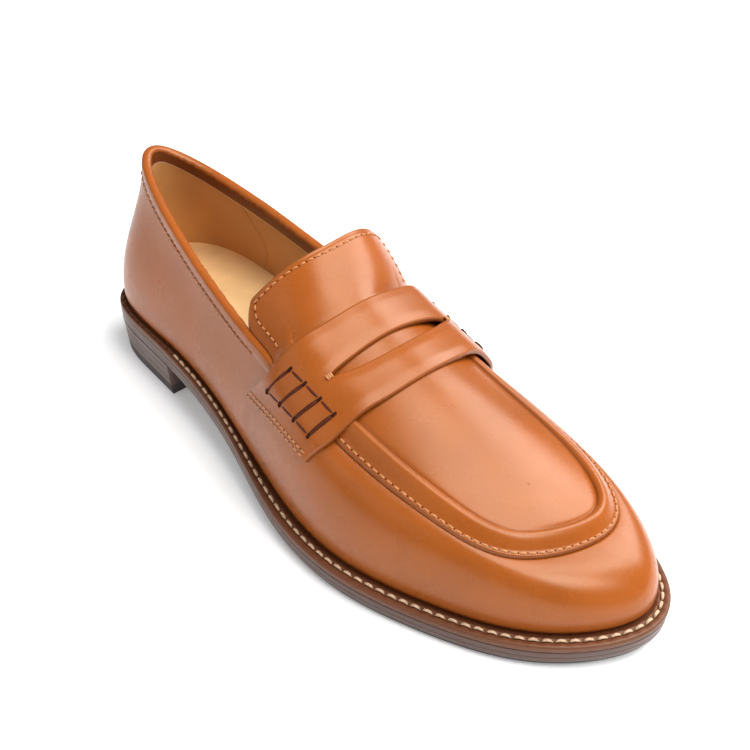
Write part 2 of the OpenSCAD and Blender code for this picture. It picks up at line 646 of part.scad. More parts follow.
// The sock liner steps up over the pad at the heel.
pad_end = 112 * kx;
pad_ramp = 52 * kx;
pad_inset = 1.5;
pad_front = 6 * kx;
function pad_rise(x) = pad_thickness * smooth((pad_end - x) / pad_ramp);
module padded_profile(low_rise, low, high, to) {
    side_profile(function(x) sole_z(x) + low + low_rise * pad_rise(x),
        function(x) sole_z(x) + high + pad_rise(x), profile_start, to);
}
module heel_pad() {
    color("white") placed() intersection() {
        linear_extrude(2 * back_height) polygon(outline(-wall_thickness - pad_inset));
        padded_profile(0, sock_level, sock_level, pad_end - pad_front);
    }
}
module sock_liner() {
    color("moccasin") placed() intersection() {
        linear_extrude(2 * back_height) polygon(outline(-wall_thickness - 2 * inner_gap));
        padded_profile(1, sock_level, sock_level + sock_thickness, profile_end);
    }
}

// Stitches lie in a row along a path, a function of one number, at a pitch.
function run_table(path, from, to, steps) = [for (k = 0, s = 0; k <= steps;
    s = s + (k < steps ? norm(path(mix(from, to, (k + 1) / steps))
        - path(mix(from, to, k / steps))) : 0), k = k + 1) [s, mix(from, to, k / steps)]];
module stitch(a, b, radius) {
    d = b - a;
    translate(a) rotate([0, acos(d.z / norm(d)), atan2(d.y, d.x)])
        cylinder(h = norm(d), r = radius, $fn = 6);
}
module stitches(path, from, to, pitch, radius, share = 0.7) {
    table = run_table(path, from, to, 96);
    run = last(table)[0];
    count = floor(run / pitch);
    for (k = [0 : count - 1]) stitch(path(lookup((k + 0.5 - share / 2) * run / count, table)),
        path(lookup((k + 0.5 + share / 2) * run / count, table)), radius);
}
module welt_stitching() {
    path = function(u) let(f = feather(u), q = f - sole_reach(f.x) * 0.5 * feather_inward(u))
        [q.x, q.y, welt_z(q.x) + welt_thread];
    color("antiquewhite") placed() stitches(path, 2.4, stations - 2.4, welt_pitch, welt_thread);
}
module apron_stitching() {
    path = function(u) apron_point(u, bead_margin * 0.6, 0)
        + [0, 0, upper_thickness + fine_thread];
    color("sandybrown") placed() stitches(path, seam_first / per_station + 0.4,
        seam_last / per_station - 0.4, fine_pitch, fine_thread);
}
// Round the tongue's edge a little inside it, in five legs: side, corner, back, corner, side.
function tongue_leg(v) = let(k = floor(min(v, 4.999)), f = v - k,
    side = k < 2 ? -1 : 1, g = k < 2 ? f : 1 - f)
    k == 2 ? [0.93, mix(-0.66, 0.66, f)]
    : k == 0 || k == 4 ? [mix(0.3, 0.72, g), side * 0.91]
    : [0.72 + 0.21 * sin(90 * g), side * (0.66 + 0.25 * cos(90 * g))];
module tongue_stitching() {
    path = function(v) let(q = tongue_leg(v)) tongue_point(q[0], q[1])
        + [0, 0, upper_thickness + fine_thread];
    color("sandybrown") placed() stitches(path, 0, 5, fine_pitch, fine_thread);
}
module topline_stitching() {
    path = function(u) let(s = wrap(u, stations), rise = brim(s).z - welt_z(feather(s).x),
        row = 1 - (binding_depth + 1.2) / rise)
        wall_point(s, row) + (fine_thread + 0.05) * wall_normal(s, row);
    color("sandybrown") placed() stitches(path, -4.2, 4.2, fine_pitch, fine_thread);
}
// Place on the strap by its distance in millimetres from the outer or inner end.
strap_run = run_table(function(v) strap_point(v, 0.5), 0, slot_middle, 48);
function strap_v(side, distance) = let(v = lookup(distance, [for (r = strap_run) r]))
    side < 0 ? v : strap_last - v;
function strap_top(side, distance, c, lift) = let(v = strap_v(side, distance))
    strap_point(v, c) + (strap_thickness + lift) * strap_normal(v, c);
end_rows = [1.8, 4.4];
module strap_end_stitching() {
    color("sandybrown") placed() for (side = [-1, 1]) for (d = end_rows)
        stitches(function(c) strap_top(side, d, c, fine_thread), 0.05, 0.95, fine_pitch,
            fine_thread);
}
// Four rungs of thick hand-sewn lace, with rails that join them.
lace_low = 13;
lace_high = 25;
lace_rows = [0.19, 0.41, 0.63, 0.84];
rail_share = 0.6;
module strap_hand_lacing() {
    color("maroon") placed() for (side = [-1, 1]) {
        for (c = lace_rows) stitch(strap_top(side, lace_low, c, lace_radius),
            strap_top(side, lace_high, c, lace_radius), lace_radius);
        for (d = [lace_low, lace_high]) for (k = [0 : 2])
            stitch(strap_top(side, d, mix(lace_rows[k], lace_rows[k + 1], 0.2), lace_radius),
                strap_top(side, d, mix(lace_rows[k], lace_rows[k + 1], 0.8), lace_radius),
                lace_radius * rail_share);
    }
}

vamp();
backstay();
topline_binding();
collar_facing();
apron();
apron_cord();
apron_lining();
saddle_strap();
vamp_lining();
quarter_lining_outer();
quarter_lining_inner();
heel_grip();
toe_puff();
heel_counter();
side_backer_outer();
side_backer_inner();
insole_board();
insole_rib();
sock_liner();
heel_pad();
cork_filler();
shank();
welt();
heel_rand();
outsole();
rubber_forepart();
heel_lift_lower();
heel_lift_middle();
heel_lift_upper();
top_piece();
heel_nails();
welt_stitching();
apron_stitching();
tongue_stitching();
topline_stitching();
strap_end_stitching();
strap_hand_lacing();
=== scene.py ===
import math

import bmesh
import bpy
import numpy as np
from mathutils import Matrix, Vector


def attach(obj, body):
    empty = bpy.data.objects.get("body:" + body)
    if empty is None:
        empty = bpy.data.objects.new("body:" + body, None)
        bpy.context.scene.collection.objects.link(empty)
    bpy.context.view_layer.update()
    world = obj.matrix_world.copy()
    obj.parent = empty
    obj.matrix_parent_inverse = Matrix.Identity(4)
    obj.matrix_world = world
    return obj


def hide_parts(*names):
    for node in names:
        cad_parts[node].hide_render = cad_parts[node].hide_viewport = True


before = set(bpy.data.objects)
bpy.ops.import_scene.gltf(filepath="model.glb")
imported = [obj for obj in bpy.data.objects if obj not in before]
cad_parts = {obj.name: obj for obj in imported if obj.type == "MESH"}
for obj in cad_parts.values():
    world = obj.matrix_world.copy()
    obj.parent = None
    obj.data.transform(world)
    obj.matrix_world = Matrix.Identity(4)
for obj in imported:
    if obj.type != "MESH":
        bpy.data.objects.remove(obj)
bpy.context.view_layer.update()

bl_info = {
    "name": "Penny loafer",
    "version": (1, 0, 0),
    "blender": (4, 5, 0),
    "location": "View3D > Sidebar > Loafer",
    "description": "Makes the leather, soles and stitching of a penny loafer",
    "category": "Object",
}

# ---------------------------------------------------------------------------
# The last: the curves that every piece follows, in millimetres from the heel.
# ---------------------------------------------------------------------------
LENGTH = 300.0
STATIONS = 18
TOE = STATIONS / 2
FEATHER = np.array([
    (3, -1.2), (9.4, -25.4), (34, -31), (80, -33), (120, -41), (160, -52),
    (200, -57.5), (241, -45), (278, -29), (303.1, 7.3), (286.8, 29.6), (256, 42.1),
    (213.4, 49), (174, 40.5), (130, 27.4), (84, 28), (36, 33), (9.8, 22.4)], float)
BRIM = np.array([
    (12.1, -1.5, 72.3), (16.1, -10.4, 70), (39.3, -18.7, 60.6), (77.3, -27.5, 49.6),
    (118.4, -35.3, 49.5), (151, -41, 52), (191, -44, 41), (236, -38, 32.4), (263, -29, 26.3),
    (277.8, 12.6, 23.4), (264.3, 31.6, 24.4), (236.5, 39.6, 29), (194.7, 36, 37.5),
    (157.8, 36.3, 48.7), (116.7, 29.8, 48.2), (78.6, 26, 50.7), (33.5, 21.4, 58.8),
    (14.3, 8.6, 68.4)], float)
RIDGE_START, RIDGE_STEP = 100.0, 25.0
RIDGE = np.array([88, 79.5, 68.5, 61, 53.5, 44, 34.5, 24, 11.5])
RIDGE_DROP = np.array([0.013, 0.012, 0.0105, 0.0085, 0.0078, 0.006, 0.005, 0.004, 0.004])
APRON_MIDDLE = -1.5

HEEL_RISE, HEEL_SEAT_END, WAIST_END = 15.0, 57.0, 183.0
TOE_SPRING, SPRING_START = 3.0, 235.0
RUBBER, OUTSOLE, WELT = 2.0, 5.6, 3.0
SOLE = RUBBER + OUTSOLE
EDGE = SOLE + WELT
HEEL_LENGTH, TOP_PIECE, HEEL_TAPER, LIFTS = 62.0, 5.0, 1.8, 3
RUBBER_START, RUBBER_INSET, RAND_END = 96.0, 1.2, 66.0
REACH_FRONT, REACH_WAIST, REACH_HEEL = 6.0, 4.0, 3.0

UPPER, STIFFENER, LINING = 1.5, 0.7, 0.9
WALL = UPPER + STIFFENER + LINING
CORK, INSOLE = 4, 2.5
INSOLE_TOP = SOLE + CORK + INSOLE
SOCK, PAD, PAD_END, PAD_RAMP = 1.0, 8.0, 112.0, 52.0
PAD_DISH, PAD_THINNING, SOCK_LIP, PAD_BED, PAD_SHORT = 0.6, 0.1, 1.3, 0.6, 4
BINDING_DROP, BINDING_DEPTH, BINDING_TURN, BINDING = 1.3, 4.2, 0.7, 0.5
FACING = 0.45
FACING_DEPTH = 6.6
TOPLINE_STITCH = BINDING_DEPTH + 1.2
TOPLINE_STITCH_END, TOPLINE_PROUD, APRON_STITCH_START = 4.3, 0.12, 5.3
VAMP_LINING_START, GRIP_END, GRIP_LAP, GRIP_PROUD, GRIP_BOW = 4.25, 2.0, 0.1, 0.25, 0.45
SEAM_START = 4.75
SEAM_END = STATIONS - SEAM_START
BEAD_MARGIN, BEAD_WIDTH = 2.0, 7.0
BEAD_LEAN, BEAD_FULLNESS = 1.25, 0.85
CREASE_DEPTH, CREASE_PLACE, CREASE_WIDTH = 0.35, 1.02, 0.07
BEAD_SINK_END, BEAD_SINK_STEP, BEAD_SUNK = 5.3, 0.45, 0.3
BAND_END = BEAD_MARGIN + BEAD_WIDTH + 4
FADE_END = 32.0
SPINE_START, SPINE_END = 152.0, 244.0
TONGUE_BACK, TONGUE_SWEEP, TONGUE_HALF, TONGUE_DROP, TONGUE_POWER = 127.0, 8.0, 36.0, 22.5, 2.75
TONGUE_SHIFT, TONGUE_SKEW, TONGUE_TILT = 4.6, 3.7, 5.9
TONGUE_START_DROP, TONGUE_WIDENING = 16.0, 1.6
CORNER_START, CORNER_CUT = 0.72, 0.18
STRAP_FOOT, STRAP_GAP, STRAP_HALF = 0.515, 0.15, 39.0
STRAP_BACK_X, STRAP_FRONT_X, STRAP_BREADTH = 152.0, 190.0, 40.0
STRAP_BACK_STATIONS, STRAP_FRONT_STATIONS, MEDIAL_LAG = (4.3, 4.84), (5.5, 5.82), 0.05
STRAP_WALL_ROW, STRAP_HIGH_ROW, STRAP_RISE = 0.72, 0.93, 0.6
STRAP_MARKS, OVER_BEAD = (0.8, 0.56, 0.28), (2.0, 1.0)
SLOT_LINE = 0.51
LACE_ROWS = (0.19, 0.41, 0.63, 0.84)
LACE_LOW, LACE_HIGH, END_ROWS = 13.0, 25.0, (1.8, 4.4)
CHANNEL = 0.47
CHANNEL_DEPTH, WHEEL_DEPTH = 0.42, 0.24
TUCK_DEPTH, TUCK_ROW, SEWN_DEPTH = 0.9, 0.055, 0.12
LEAST_EDGE = 0.12


def smooth(v):
    """Smoothstep: three v squared less two v cubed, v held between nought and one."""
    c = np.clip(v, 0, 1)
    return c * c * (3 - 2 * c)


def mix(a, b, f):
    """The point a share f of the way from a to b."""
    return a + (b - a) * f


def unit(v):
    """Vectors divided by their own lengths."""
    return v / np.maximum(np.linalg.norm(v, axis=-1, keepdims=True), 1e-12)


def spline_weights(f):
    """The four weights of a uniform cubic B-spline at the fraction f of a span."""
    return np.stack([(1 - f) ** 3 / 6, (3 * f ** 3 - 6 * f * f + 4) / 6,
                     (-3 * f ** 3 + 3 * f * f + 3 * f + 1) / 6, f ** 3 / 6], -1)


def closed_spline(points, u):
    """Closed cubic B-spline: each point is the weighted mean of four control points."""
    u = np.asarray(u, float)
    span = np.floor(u).astype(int)
    index = (span[..., None] + np.arange(-1, 3)) % len(points)
    return (spline_weights(u - span)[..., None] * points[index]).sum(-2)


def open_spline(points, v):
    """Open cubic B-spline whose ends are carried on in a straight line."""
    points = np.concatenate([2 * points[:1] - points[1:2], points,
                             2 * points[-1:] - points[-2:-1]])
    v = np.asarray(v, float)
    span = np.clip(np.floor(v).astype(int), 0, len(points) - 4)
    index = span[..., None] + np.arange(4)
    weights = spline_weights(v - span)
    if points.ndim > 1:
        weights = weights[..., None]
        return (weights * points[index]).sum(-2)
    return (weights * points[index]).sum(-1)


def sole_z(x):
    """Underside of the sole: a smoothstep up to the heel and a parabola up to the toe."""
    heel = HEEL_RISE * smooth((WAIST_END - x) / (WAIST_END - HEEL_SEAT_END))
    return heel + TOE_SPRING * (np.maximum(0, x - SPRING_START) / (LENGTH - SPRING_START)) ** 2


def welt_z(x):
    """Top of the welt: the sole's underside raised by the sole and the welt."""
    return sole_z(x) + EDGE


def feather(u):
    """Feather line in plan, where the upper meets the welt: a closed cubic B-spline."""
    return closed_spline(FEATHER, u)


def inward(curve, u, step=0.05):
    """Plan normal of a curve that runs anticlockwise: its tangent turned a quarter left."""
    t = unit(curve(u + step)[..., :2] - curve(u - step)[..., :2])
    return np.stack([-t[..., 1], t[..., 0]], -1)


def brim(u):
    """Top line of the wall: a closed cubic B-spline whose heights are over the welt."""
    p = closed_spline(BRIM, u)
    return np.stack([p[..., 0], p[..., 1], welt_z(p[..., 0]) + p[..., 2]], -1)


def front_share(u):
    """One where the apron is sewn to the wall, nought along the open topline."""
    u = np.mod(u, STATIONS)
    return smooth((np.minimum(u, STATIONS - u) - 4) / 0.7)


def lifted(p, height):
    """Plan points with a height as their third coordinate."""
    return np.concatenate([p, height[..., None]], -1)


def wall(u, row):
    """Side of the upper: a cubic Bezier from the feather line (row 0) to the brim (row 1),
    upright and a little bulged at the welt and leaning in at the top."""
    u, row = np.broadcast_arrays(np.asarray(u, float), np.asarray(row, float))
    f = feather(u)
    low = lifted(f, welt_z(f[..., 0]))
    high = brim(u) - lifted(np.zeros_like(f), BINDING_DROP * (1 - front_share(u)))
    rise = high[..., 2] - low[..., 2]
    reach = low - high
    reach[..., 2] = 0
    out = -inward(feather, u, 0.1)
    v = smooth((f[..., 0] - 110) / 70)
    c1 = low + lifted(mix(3, 2.5, v)[..., None] * out, mix(0.4, 0.65, v) * rise)
    c2 = high + mix(0.2, 0.55, v)[..., None] * reach
    c2[..., 2] -= mix(0.35, 0.05, v) * rise
    r = row[..., None]
    s = 1 - r
    return s ** 3 * low + 3 * s * s * r * c1 + 3 * s * r * r * c2 + r ** 3 * high


def normal_of(surface, a, b):
    """Unit normal of a surface of two numbers, the second from nought to one: the cross
    product of its two differences."""
    across = surface(a + 0.03, b) - surface(a - 0.03, b)
    along = surface(a, np.minimum(b + 0.02, 1)) - surface(a, np.maximum(b - 0.02, 0))
    return unit(np.cross(across, along))


def wall_at(u, row, depth=0.0):
    """A point some depth under the wall's outer face."""
    u, row = np.broadcast_arrays(np.asarray(u, float), np.asarray(row, float))
    return wall(u, row) - np.asarray(depth)[..., None] * normal_of(wall, u, row)


def row_below(u, down):
    """Wall row that lies a distance down from the brim."""
    return 1 - down / (brim(u)[..., 2] - welt_z(feather(u)[..., 0]))


def apron_z(x, y):
    """Underside of the apron: a ridge line less a parabola across the shoe."""
    v = (x - RIDGE_START) / RIDGE_STEP
    ridge = welt_z(x) + open_spline(RIDGE, v)
    return ridge - open_spline(RIDGE_DROP, v) * (y - APRON_MIDDLE) ** 2


def apron(u, distance, share):
    """Underside of the apron at a distance in from its seam, then a share of the way to the
    centre line, with the seam's own height blended in near the edge."""
    u, distance, share = np.broadcast_arrays(*[np.asarray(v, float) for v in (u, distance, share)])
    b = brim(u)
    p = b[..., :2] + distance[..., None] * inward(brim, u, 0.1)
    v = (TOE - np.abs(u - TOE) - SEAM_START) / (TOE - SEAM_START)
    spine = np.stack([mix(SPINE_START, SPINE_END, np.sin(np.pi / 2 * v)),
                      np.full_like(v, APRON_MIDDLE)], -1)
    q = mix(p, spine, share[..., None])
    d = mix(distance, FADE_END, share)
    error = b[..., 2] - apron_z(b[..., 0], b[..., 1])
    height = apron_z(q[..., 0], q[..., 1]) + error * np.maximum(0, 1 - d / FADE_END) ** 2
    return lifted(q, height)


def bead(distance, height):
    """Raised bead: half a sine wave that leans outwards, with a crease along its inside."""
    v = (distance - BEAD_MARGIN) / BEAD_WIDTH
    wave = np.sin(np.pi * np.clip(v, 0, 1) ** BEAD_LEAN)
    crease = -CREASE_DEPTH * np.exp(-((v - CREASE_PLACE) / CREASE_WIDTH) ** 2)
    return height * np.maximum(0, wave) ** BEAD_FULLNESS + crease


def tongue_corner(s):
    """Share of the full width near the tongue's end: a quarter circle takes the rest."""
    q = np.maximum(0, (s - CORNER_START) / (1 - CORNER_START))
    return 1 - CORNER_CUT * (1 - np.sqrt(np.maximum(0, 1 - q * q)))


def tongue(s, w):
    """Tongue behind the strap: rows across it, each an arch, that draw in at the corners."""
    s, w = np.broadcast_arrays(np.asarray(s, float), np.asarray(w, float))
    x = mix(SPINE_START, TONGUE_BACK - TONGUE_SWEEP * w * w + TONGUE_SKEW * w, s)
    start = brim(np.array(SEAM_END))[1] - APRON_MIDDLE
    half = mix(start, TONGUE_HALF, smooth(s * TONGUE_WIDENING))
    drop = mix(TONGUE_START_DROP, TONGUE_DROP, s)
    reach = tongue_corner(s) * w
    spine = mix(SPINE_START, TONGUE_BACK, s)
    z = welt_z(spine) + open_spline(RIDGE, (spine - RIDGE_START) / RIDGE_STEP)
    return np.stack([x, APRON_MIDDLE + TONGUE_SHIFT * s + half * reach,
                     z - drop * np.abs(reach) ** TONGUE_POWER + TONGUE_TILT * s * reach], -1)


def strap_station(side, c, row):
    """Station of the strap at c across it, where its slanting edges cross a wall row."""
    v = (row - STRAP_FOOT) / (1 - STRAP_FOOT)
    u = mix(mix(*STRAP_BACK_STATIONS, v), mix(*STRAP_FRONT_STATIONS, v), c)
    return u if side < 0 else STATIONS - u + MEDIAL_LAG


def strap_on_wall(side, c, row, lift):
    """Marks on the wall at one side, a lift out from its outer face."""
    u = strap_station(side, c, row)
    return wall_at(u, np.full_like(c, row), np.full_like(c, -lift))


def strap_on_apron(c, w, lift):
    """Marks over the apron at a share w of the half width, a lift above its underside."""
    seam = brim(strap_station(-1 if w < 0 else 1, c, 1))[..., 0]
    x = mix(seam, mix(STRAP_BACK_X, STRAP_FRONT_X, c), 1 - w * w)
    y = np.full_like(x, APRON_MIDDLE + w * STRAP_HALF)
    return np.stack([x, y, apron_z(x, y) + lift], -1)


STRAP_TABLE_ROWS = 41


def strap_table():
    """Control points of the strap's underside for each row from its back to its front edge:
    marks on the wall, over the bead and on the apron, moved out by a sixth of their second
    difference so that the spline passes close to them."""
    c = np.linspace(0, 1, STRAP_TABLE_ROWS)
    marks = []
    for side, over_bead in zip((-1, 1), OVER_BEAD):
        half = [strap_on_wall(side, c, STRAP_FOOT, STRAP_GAP),
                strap_on_wall(side, c, STRAP_WALL_ROW, STRAP_GAP),
                strap_on_wall(side, c, STRAP_HIGH_ROW, UPPER + STRAP_RISE)]
        lifts = (over_bead, STRAP_RISE, STRAP_GAP)
        half += [strap_on_apron(c, side * w, UPPER + lift) for w, lift in zip(STRAP_MARKS, lifts)]
        marks.append(half)
    middle = [strap_on_apron(c, 0, UPPER + STRAP_GAP)]
    net = np.stack(marks[0] + middle + marks[1][::-1], 1)
    inner = net[:, 1:-1] - (net[:, :-2] - 2 * net[:, 1:-1] + net[:, 2:]) / 6
    return np.concatenate([net[:, :1], inner, net[:, -1:]], 1)


STRAP_NET = strap_table()
STRAP_LAST = STRAP_NET.shape[1] - 1
SLOT_MIDDLE = STRAP_LAST / 2


def strap(v, c):
    """Underside of the strap at v along it, in control points, and c across it."""
    v, c = np.broadcast_arrays(np.asarray(v, float), np.asarray(c, float))
    place = np.clip(c, 0, 1) * (STRAP_TABLE_ROWS - 1)
    row = np.minimum(np.floor(place).astype(int), STRAP_TABLE_ROWS - 2)
    net = np.concatenate([2 * STRAP_NET[:, :1] - STRAP_NET[:, 1:2], STRAP_NET,
                          2 * STRAP_NET[:, -1:] - STRAP_NET[:, -2:-1]], 1)
    span = np.clip(np.floor(v).astype(int), 0, STRAP_LAST - 1)
    weights = spline_weights(v - span)[..., None]
    index = span[..., None] + np.arange(4)
    near = (weights * net[row[..., None], index]).sum(-2)
    far = (weights * net[row[..., None] + 1, index]).sum(-2)
    return mix(near, far, (place - row)[..., None])


def strap_normal(v, c):
    """Unit normal of the strap: the cross product of its two differences."""
    return unit(np.cross(strap(v, np.minimum(c + 0.06, 1)) - strap(v, np.maximum(c - 0.06, 0)),
                         strap(np.minimum(v + 0.15, STRAP_LAST), c)
                         - strap(np.maximum(v - 0.15, 0), c)))


def run_along(points):
    """Distance run along a row of points, up to each of them."""
    return np.concatenate([[0], np.cumsum(np.linalg.norm(np.diff(points, axis=0), axis=1))])


def arc_table(path, start, end, steps=900):
    """Distance run along a path at each of many even steps of its own number."""
    t = np.linspace(start, end, steps)
    return run_along(path(t)), t


def sole_reach(x):
    """How far the welt stands out: blended from the heel through the waist to the front."""
    front = smooth((x - 110) / 60)
    heel = smooth((80 - x) / 40)
    return mix(mix(REACH_WAIST, REACH_HEEL, heel), REACH_FRONT, front)


def edge_line(u, inset):
    """Outline of the sole: the feather line moved out by the welt's reach, less an inset."""
    f = feather(u)
    return f - (sole_reach(f[..., 0]) - inset)[..., None] * inward(feather, u, 0.1)


_edge = edge_line(np.linspace(0, STATIONS, 1441), 0.0)
SHIFT = np.append((_edge.max(0) + _edge.min(0)) / 2, 0)


# ---------------------------------------------------------------------------
# Meshes: whole arrays of points made into closed shells.
# ---------------------------------------------------------------------------
def add_mesh(name, points, faces, merge=False, **attributes):
    """A piece from points in millimetres and faces. The shift that brings the middle of the
    sole's outline to the origin is taken off, and merge joins points that coincide."""
    mesh = bpy.data.meshes.new(name)
    mesh.from_pydata((points - SHIFT) / 1000, [], faces)
    for key, values in attributes.items():
        layer = mesh.attributes.new(key, "FLOAT", "POINT")
        layer.data.foreach_set("value", np.ascontiguousarray(values, np.float32).ravel())
    if merge:
        work = bmesh.new()
        work.from_mesh(mesh)
        bmesh.ops.remove_doubles(work, verts=work.verts, dist=2e-6)
        bmesh.ops.recalc_face_normals(work, faces=work.faces)
        work.to_mesh(mesh)
        work.free()
    mesh.shade_smooth()
    piece = bpy.data.objects.new(name, mesh)
    bpy.context.scene.collection.objects.link(piece)
    return piece


def grid_faces(n, m, closed_n=False, closed_m=False, offset=0, flip=False):
    """Quads of an n by m grid of points, wrapped along either index if it is closed."""
    i = np.arange(n if closed_n else n - 1)[:, None]
    j = np.arange(m if closed_m else m - 1)[None, :]
    a = i * m + j
    b = i * m + (j + 1) % m
    c = (i + 1) % n * m + (j + 1) % m
    d = (i + 1) % n * m + j
    order = (a, b, c, d) if not flip else (a, d, c, b)
    return (np.stack(order, -1).reshape(-1, 4) + offset).tolist()


def rim_faces(ring, total):
    """Quads from a closed ring of points to the same ring on the other skin."""
    after = np.roll(ring, -1)
    return np.stack([ring, ring + total, after + total, after], -1).tolist()


def add_shell(name, outer, inner, closed=False, **attributes):
    """A closed shell between two grids of points: two skins and the wall round their rims."""
    n, m = outer.shape[:2]
    total = n * m
    faces = grid_faces(n, m, closed) + grid_faces(n, m, closed, offset=total, flip=True)
    if closed:
        low = np.arange(n) * m
        faces += rim_faces(low[::-1], total) + rim_faces(low + m - 1, total)
    else:
        rim = np.concatenate([np.arange(n) * m, (n - 1) * m + np.arange(1, m),
                              np.arange(n - 2, -1, -1) * m + m - 1, np.arange(m - 2, 0, -1)])
        faces += rim_faces(rim[::-1], total)
    points = np.concatenate([outer.reshape(-1, 3), inner.reshape(-1, 3)])
    doubled = {k: np.concatenate([v.ravel(), v.ravel()]) for k, v in attributes.items()}
    return add_mesh(name, points, faces, merge=True, **doubled)


def add_sweep(name, sections, **attributes):
    """A tube through sections, each a loop of points, with both ends capped."""
    n, m = sections.shape[:2]
    faces = grid_faces(n, m, False, True)
    faces += [list(range(m)), list(range((n - 1) * m, n * m))[::-1]]
    return add_mesh(name, sections.reshape(-1, 3), faces, merge=True, **attributes)


def edge_rise(distance, radius):
    """Share of the full thickness near a cut edge: a quarter circle of the given radius,
    never thinner than LEAST_EDGE of it."""
    v = 1 - np.clip(distance / radius, 0, 1)
    return np.maximum(np.sqrt(np.maximum(0, 1 - v * v)), LEAST_EDGE)


def clustered(count, edge=0.06):
    """Numbers from nought to one, closer together at both ends."""
    t = np.linspace(0, 1, count)
    return mix(t, (1 - np.cos(np.pi * t)) / 2, 1 - edge)


def capsules(starts, ends, ups, radius, flat=0.8, arch=0.35, sides=8, rings=5, taper=4):
    """Stitches: each is a tube from start to end whose middle rises by arch radii and whose
    ends narrow and dip, so that the thread goes down into its holes."""
    t = (1 - np.cos(np.pi * np.linspace(0, 1, rings))) / 2
    along = ends - starts
    side = unit(np.cross(along, ups))
    swell = np.sqrt(np.maximum(0.05, 1 - (2 * t - 1) ** taper))
    rise = (arch * radius * (1 - (2 * t - 1) ** 2) * 2 - radius * 0.55 * (2 * t - 1) ** 6)
    angle = np.linspace(0, 2 * np.pi, sides, endpoint=False)
    centre = (starts[:, None] + t[None, :, None] * along[:, None]
              + rise[None, :, None] * ups[:, None])
    across = (radius * swell[:, None] * np.cos(angle))[None, :, :, None] * side[:, None, None]
    upward = (radius * flat * swell[:, None] * np.sin(angle))[None, :, :, None] * ups[:, None, None]
    points = (centre[:, :, None] + across + upward).reshape(-1, 3)
    one = np.array(grid_faces(rings, sides, False, True))
    per = rings * sides
    body = (one[None] + (np.arange(len(starts)) * per)[:, None, None]).reshape(-1, 4).tolist()
    caps = []
    for k in range(len(starts)):
        caps.append(list(range(k * per, k * per + sides)))
        caps.append(list(range((k + 1) * per - sides, (k + 1) * per))[::-1])
    return points, body + caps


def stitch_row(path, up, start, end, pitch, share=0.72):
    """Ends, up directions and hole places of evenly spaced stitches along a path."""
    run, t = arc_table(path, start, end)
    count = int(run[-1] / pitch)
    centre = (np.arange(count) + 0.5) * run[-1] / count
    half = share / 2 * run[-1] / count
    first, second = (np.interp(centre + s * half, run, t) for s in (-1, 1))
    ups = up(np.interp(centre, run, t))
    return path(first), path(second), ups, np.interp(centre - run[-1] / count / 2, run, t)


def add_stitches(name, rows, radius, **shape):
    starts, ends, ups = (np.concatenate([r[k] for r in rows]) for k in range(3))
    points, faces = capsules(starts, ends, ups, radius, **shape)
    return add_mesh(name, points, faces, merge=True)


# ---------------------------------------------------------------------------
# Materials
# ---------------------------------------------------------------------------
class Nodes:
    """A short way to write a node tree: each call adds a node and sets its sockets."""

    def __init__(self, name):
        self.material = bpy.data.materials.new(name)
        self.material.use_nodes = True
        self.tree = self.material.node_tree
        self.tree.nodes.clear()
        self.output = self.tree.nodes.new("ShaderNodeOutputMaterial")
        self.object = self.add("TexCoord").outputs["Object"]

    def put(self, socket, value):
        if isinstance(value, bpy.types.NodeSocket):
            self.tree.links.new(value, socket)
        else:
            socket.default_value = value

    def add(self, kind, sockets=None, **settings):
        node = self.tree.nodes.new("ShaderNode" + kind)
        for key, value in settings.items():
            setattr(node, key, value)
        for key, value in (sockets or {}).items():
            self.put(node.inputs[key], value)
        return node

    def noise(self, scale, detail=3.0, roughness=0.55, vector=None):
        node = self.add("TexNoise", {"Vector": vector or self.object, "Scale": scale,
                                     "Detail": detail, "Roughness": roughness})
        return node.outputs["Fac"]

    def range(self, value, low, high, to_low=0.0, to_high=1.0):
        node = self.add("MapRange", {"Value": value, "From Min": low, "From Max": high,
                                     "To Min": to_low, "To Max": to_high})
        return node.outputs["Result"]

    def math(self, operation, a, b=0.0):
        return self.add("Math", {0: a, 1: b}, operation=operation).outputs[0]

    def blend(self, share, first, second):
        node = self.add("Mix", data_type="RGBA")
        self.put(node.inputs[0], share)
        self.put(node.inputs[6], first)
        self.put(node.inputs[7], second)
        return node.outputs[2]

    def attribute(self, name):
        return self.add("Attribute", attribute_name=name).outputs["Fac"]

    def stretched(self, scale):
        return self.add("Mapping", {"Vector": self.object, "Scale": scale}).outputs["Vector"]

    def bump(self, height, strength, distance, normal=None):
        sockets = {"Height": height, "Strength": strength, "Distance": distance}
        if normal is not None:
            sockets["Normal"] = normal
        return self.add("Bump", sockets).outputs["Normal"]

    def finish(self, **sockets):
        names = {key.replace("_", " "): value for key, value in sockets.items()}
        shader = self.add("BsdfPrincipled", names)
        self.tree.links.new(shader.outputs["BSDF"], self.output.inputs["Surface"])
        return self.material


def rgba(colour, share=1.0):
    return (colour[0] * share, colour[1] * share, colour[2] * share, 1.0)


# Dark brown of burnished cut edges, also used as painted shade in creases and grooves.
BURNISH_AND_SHADE = (0.14, 0.045, 0.018)


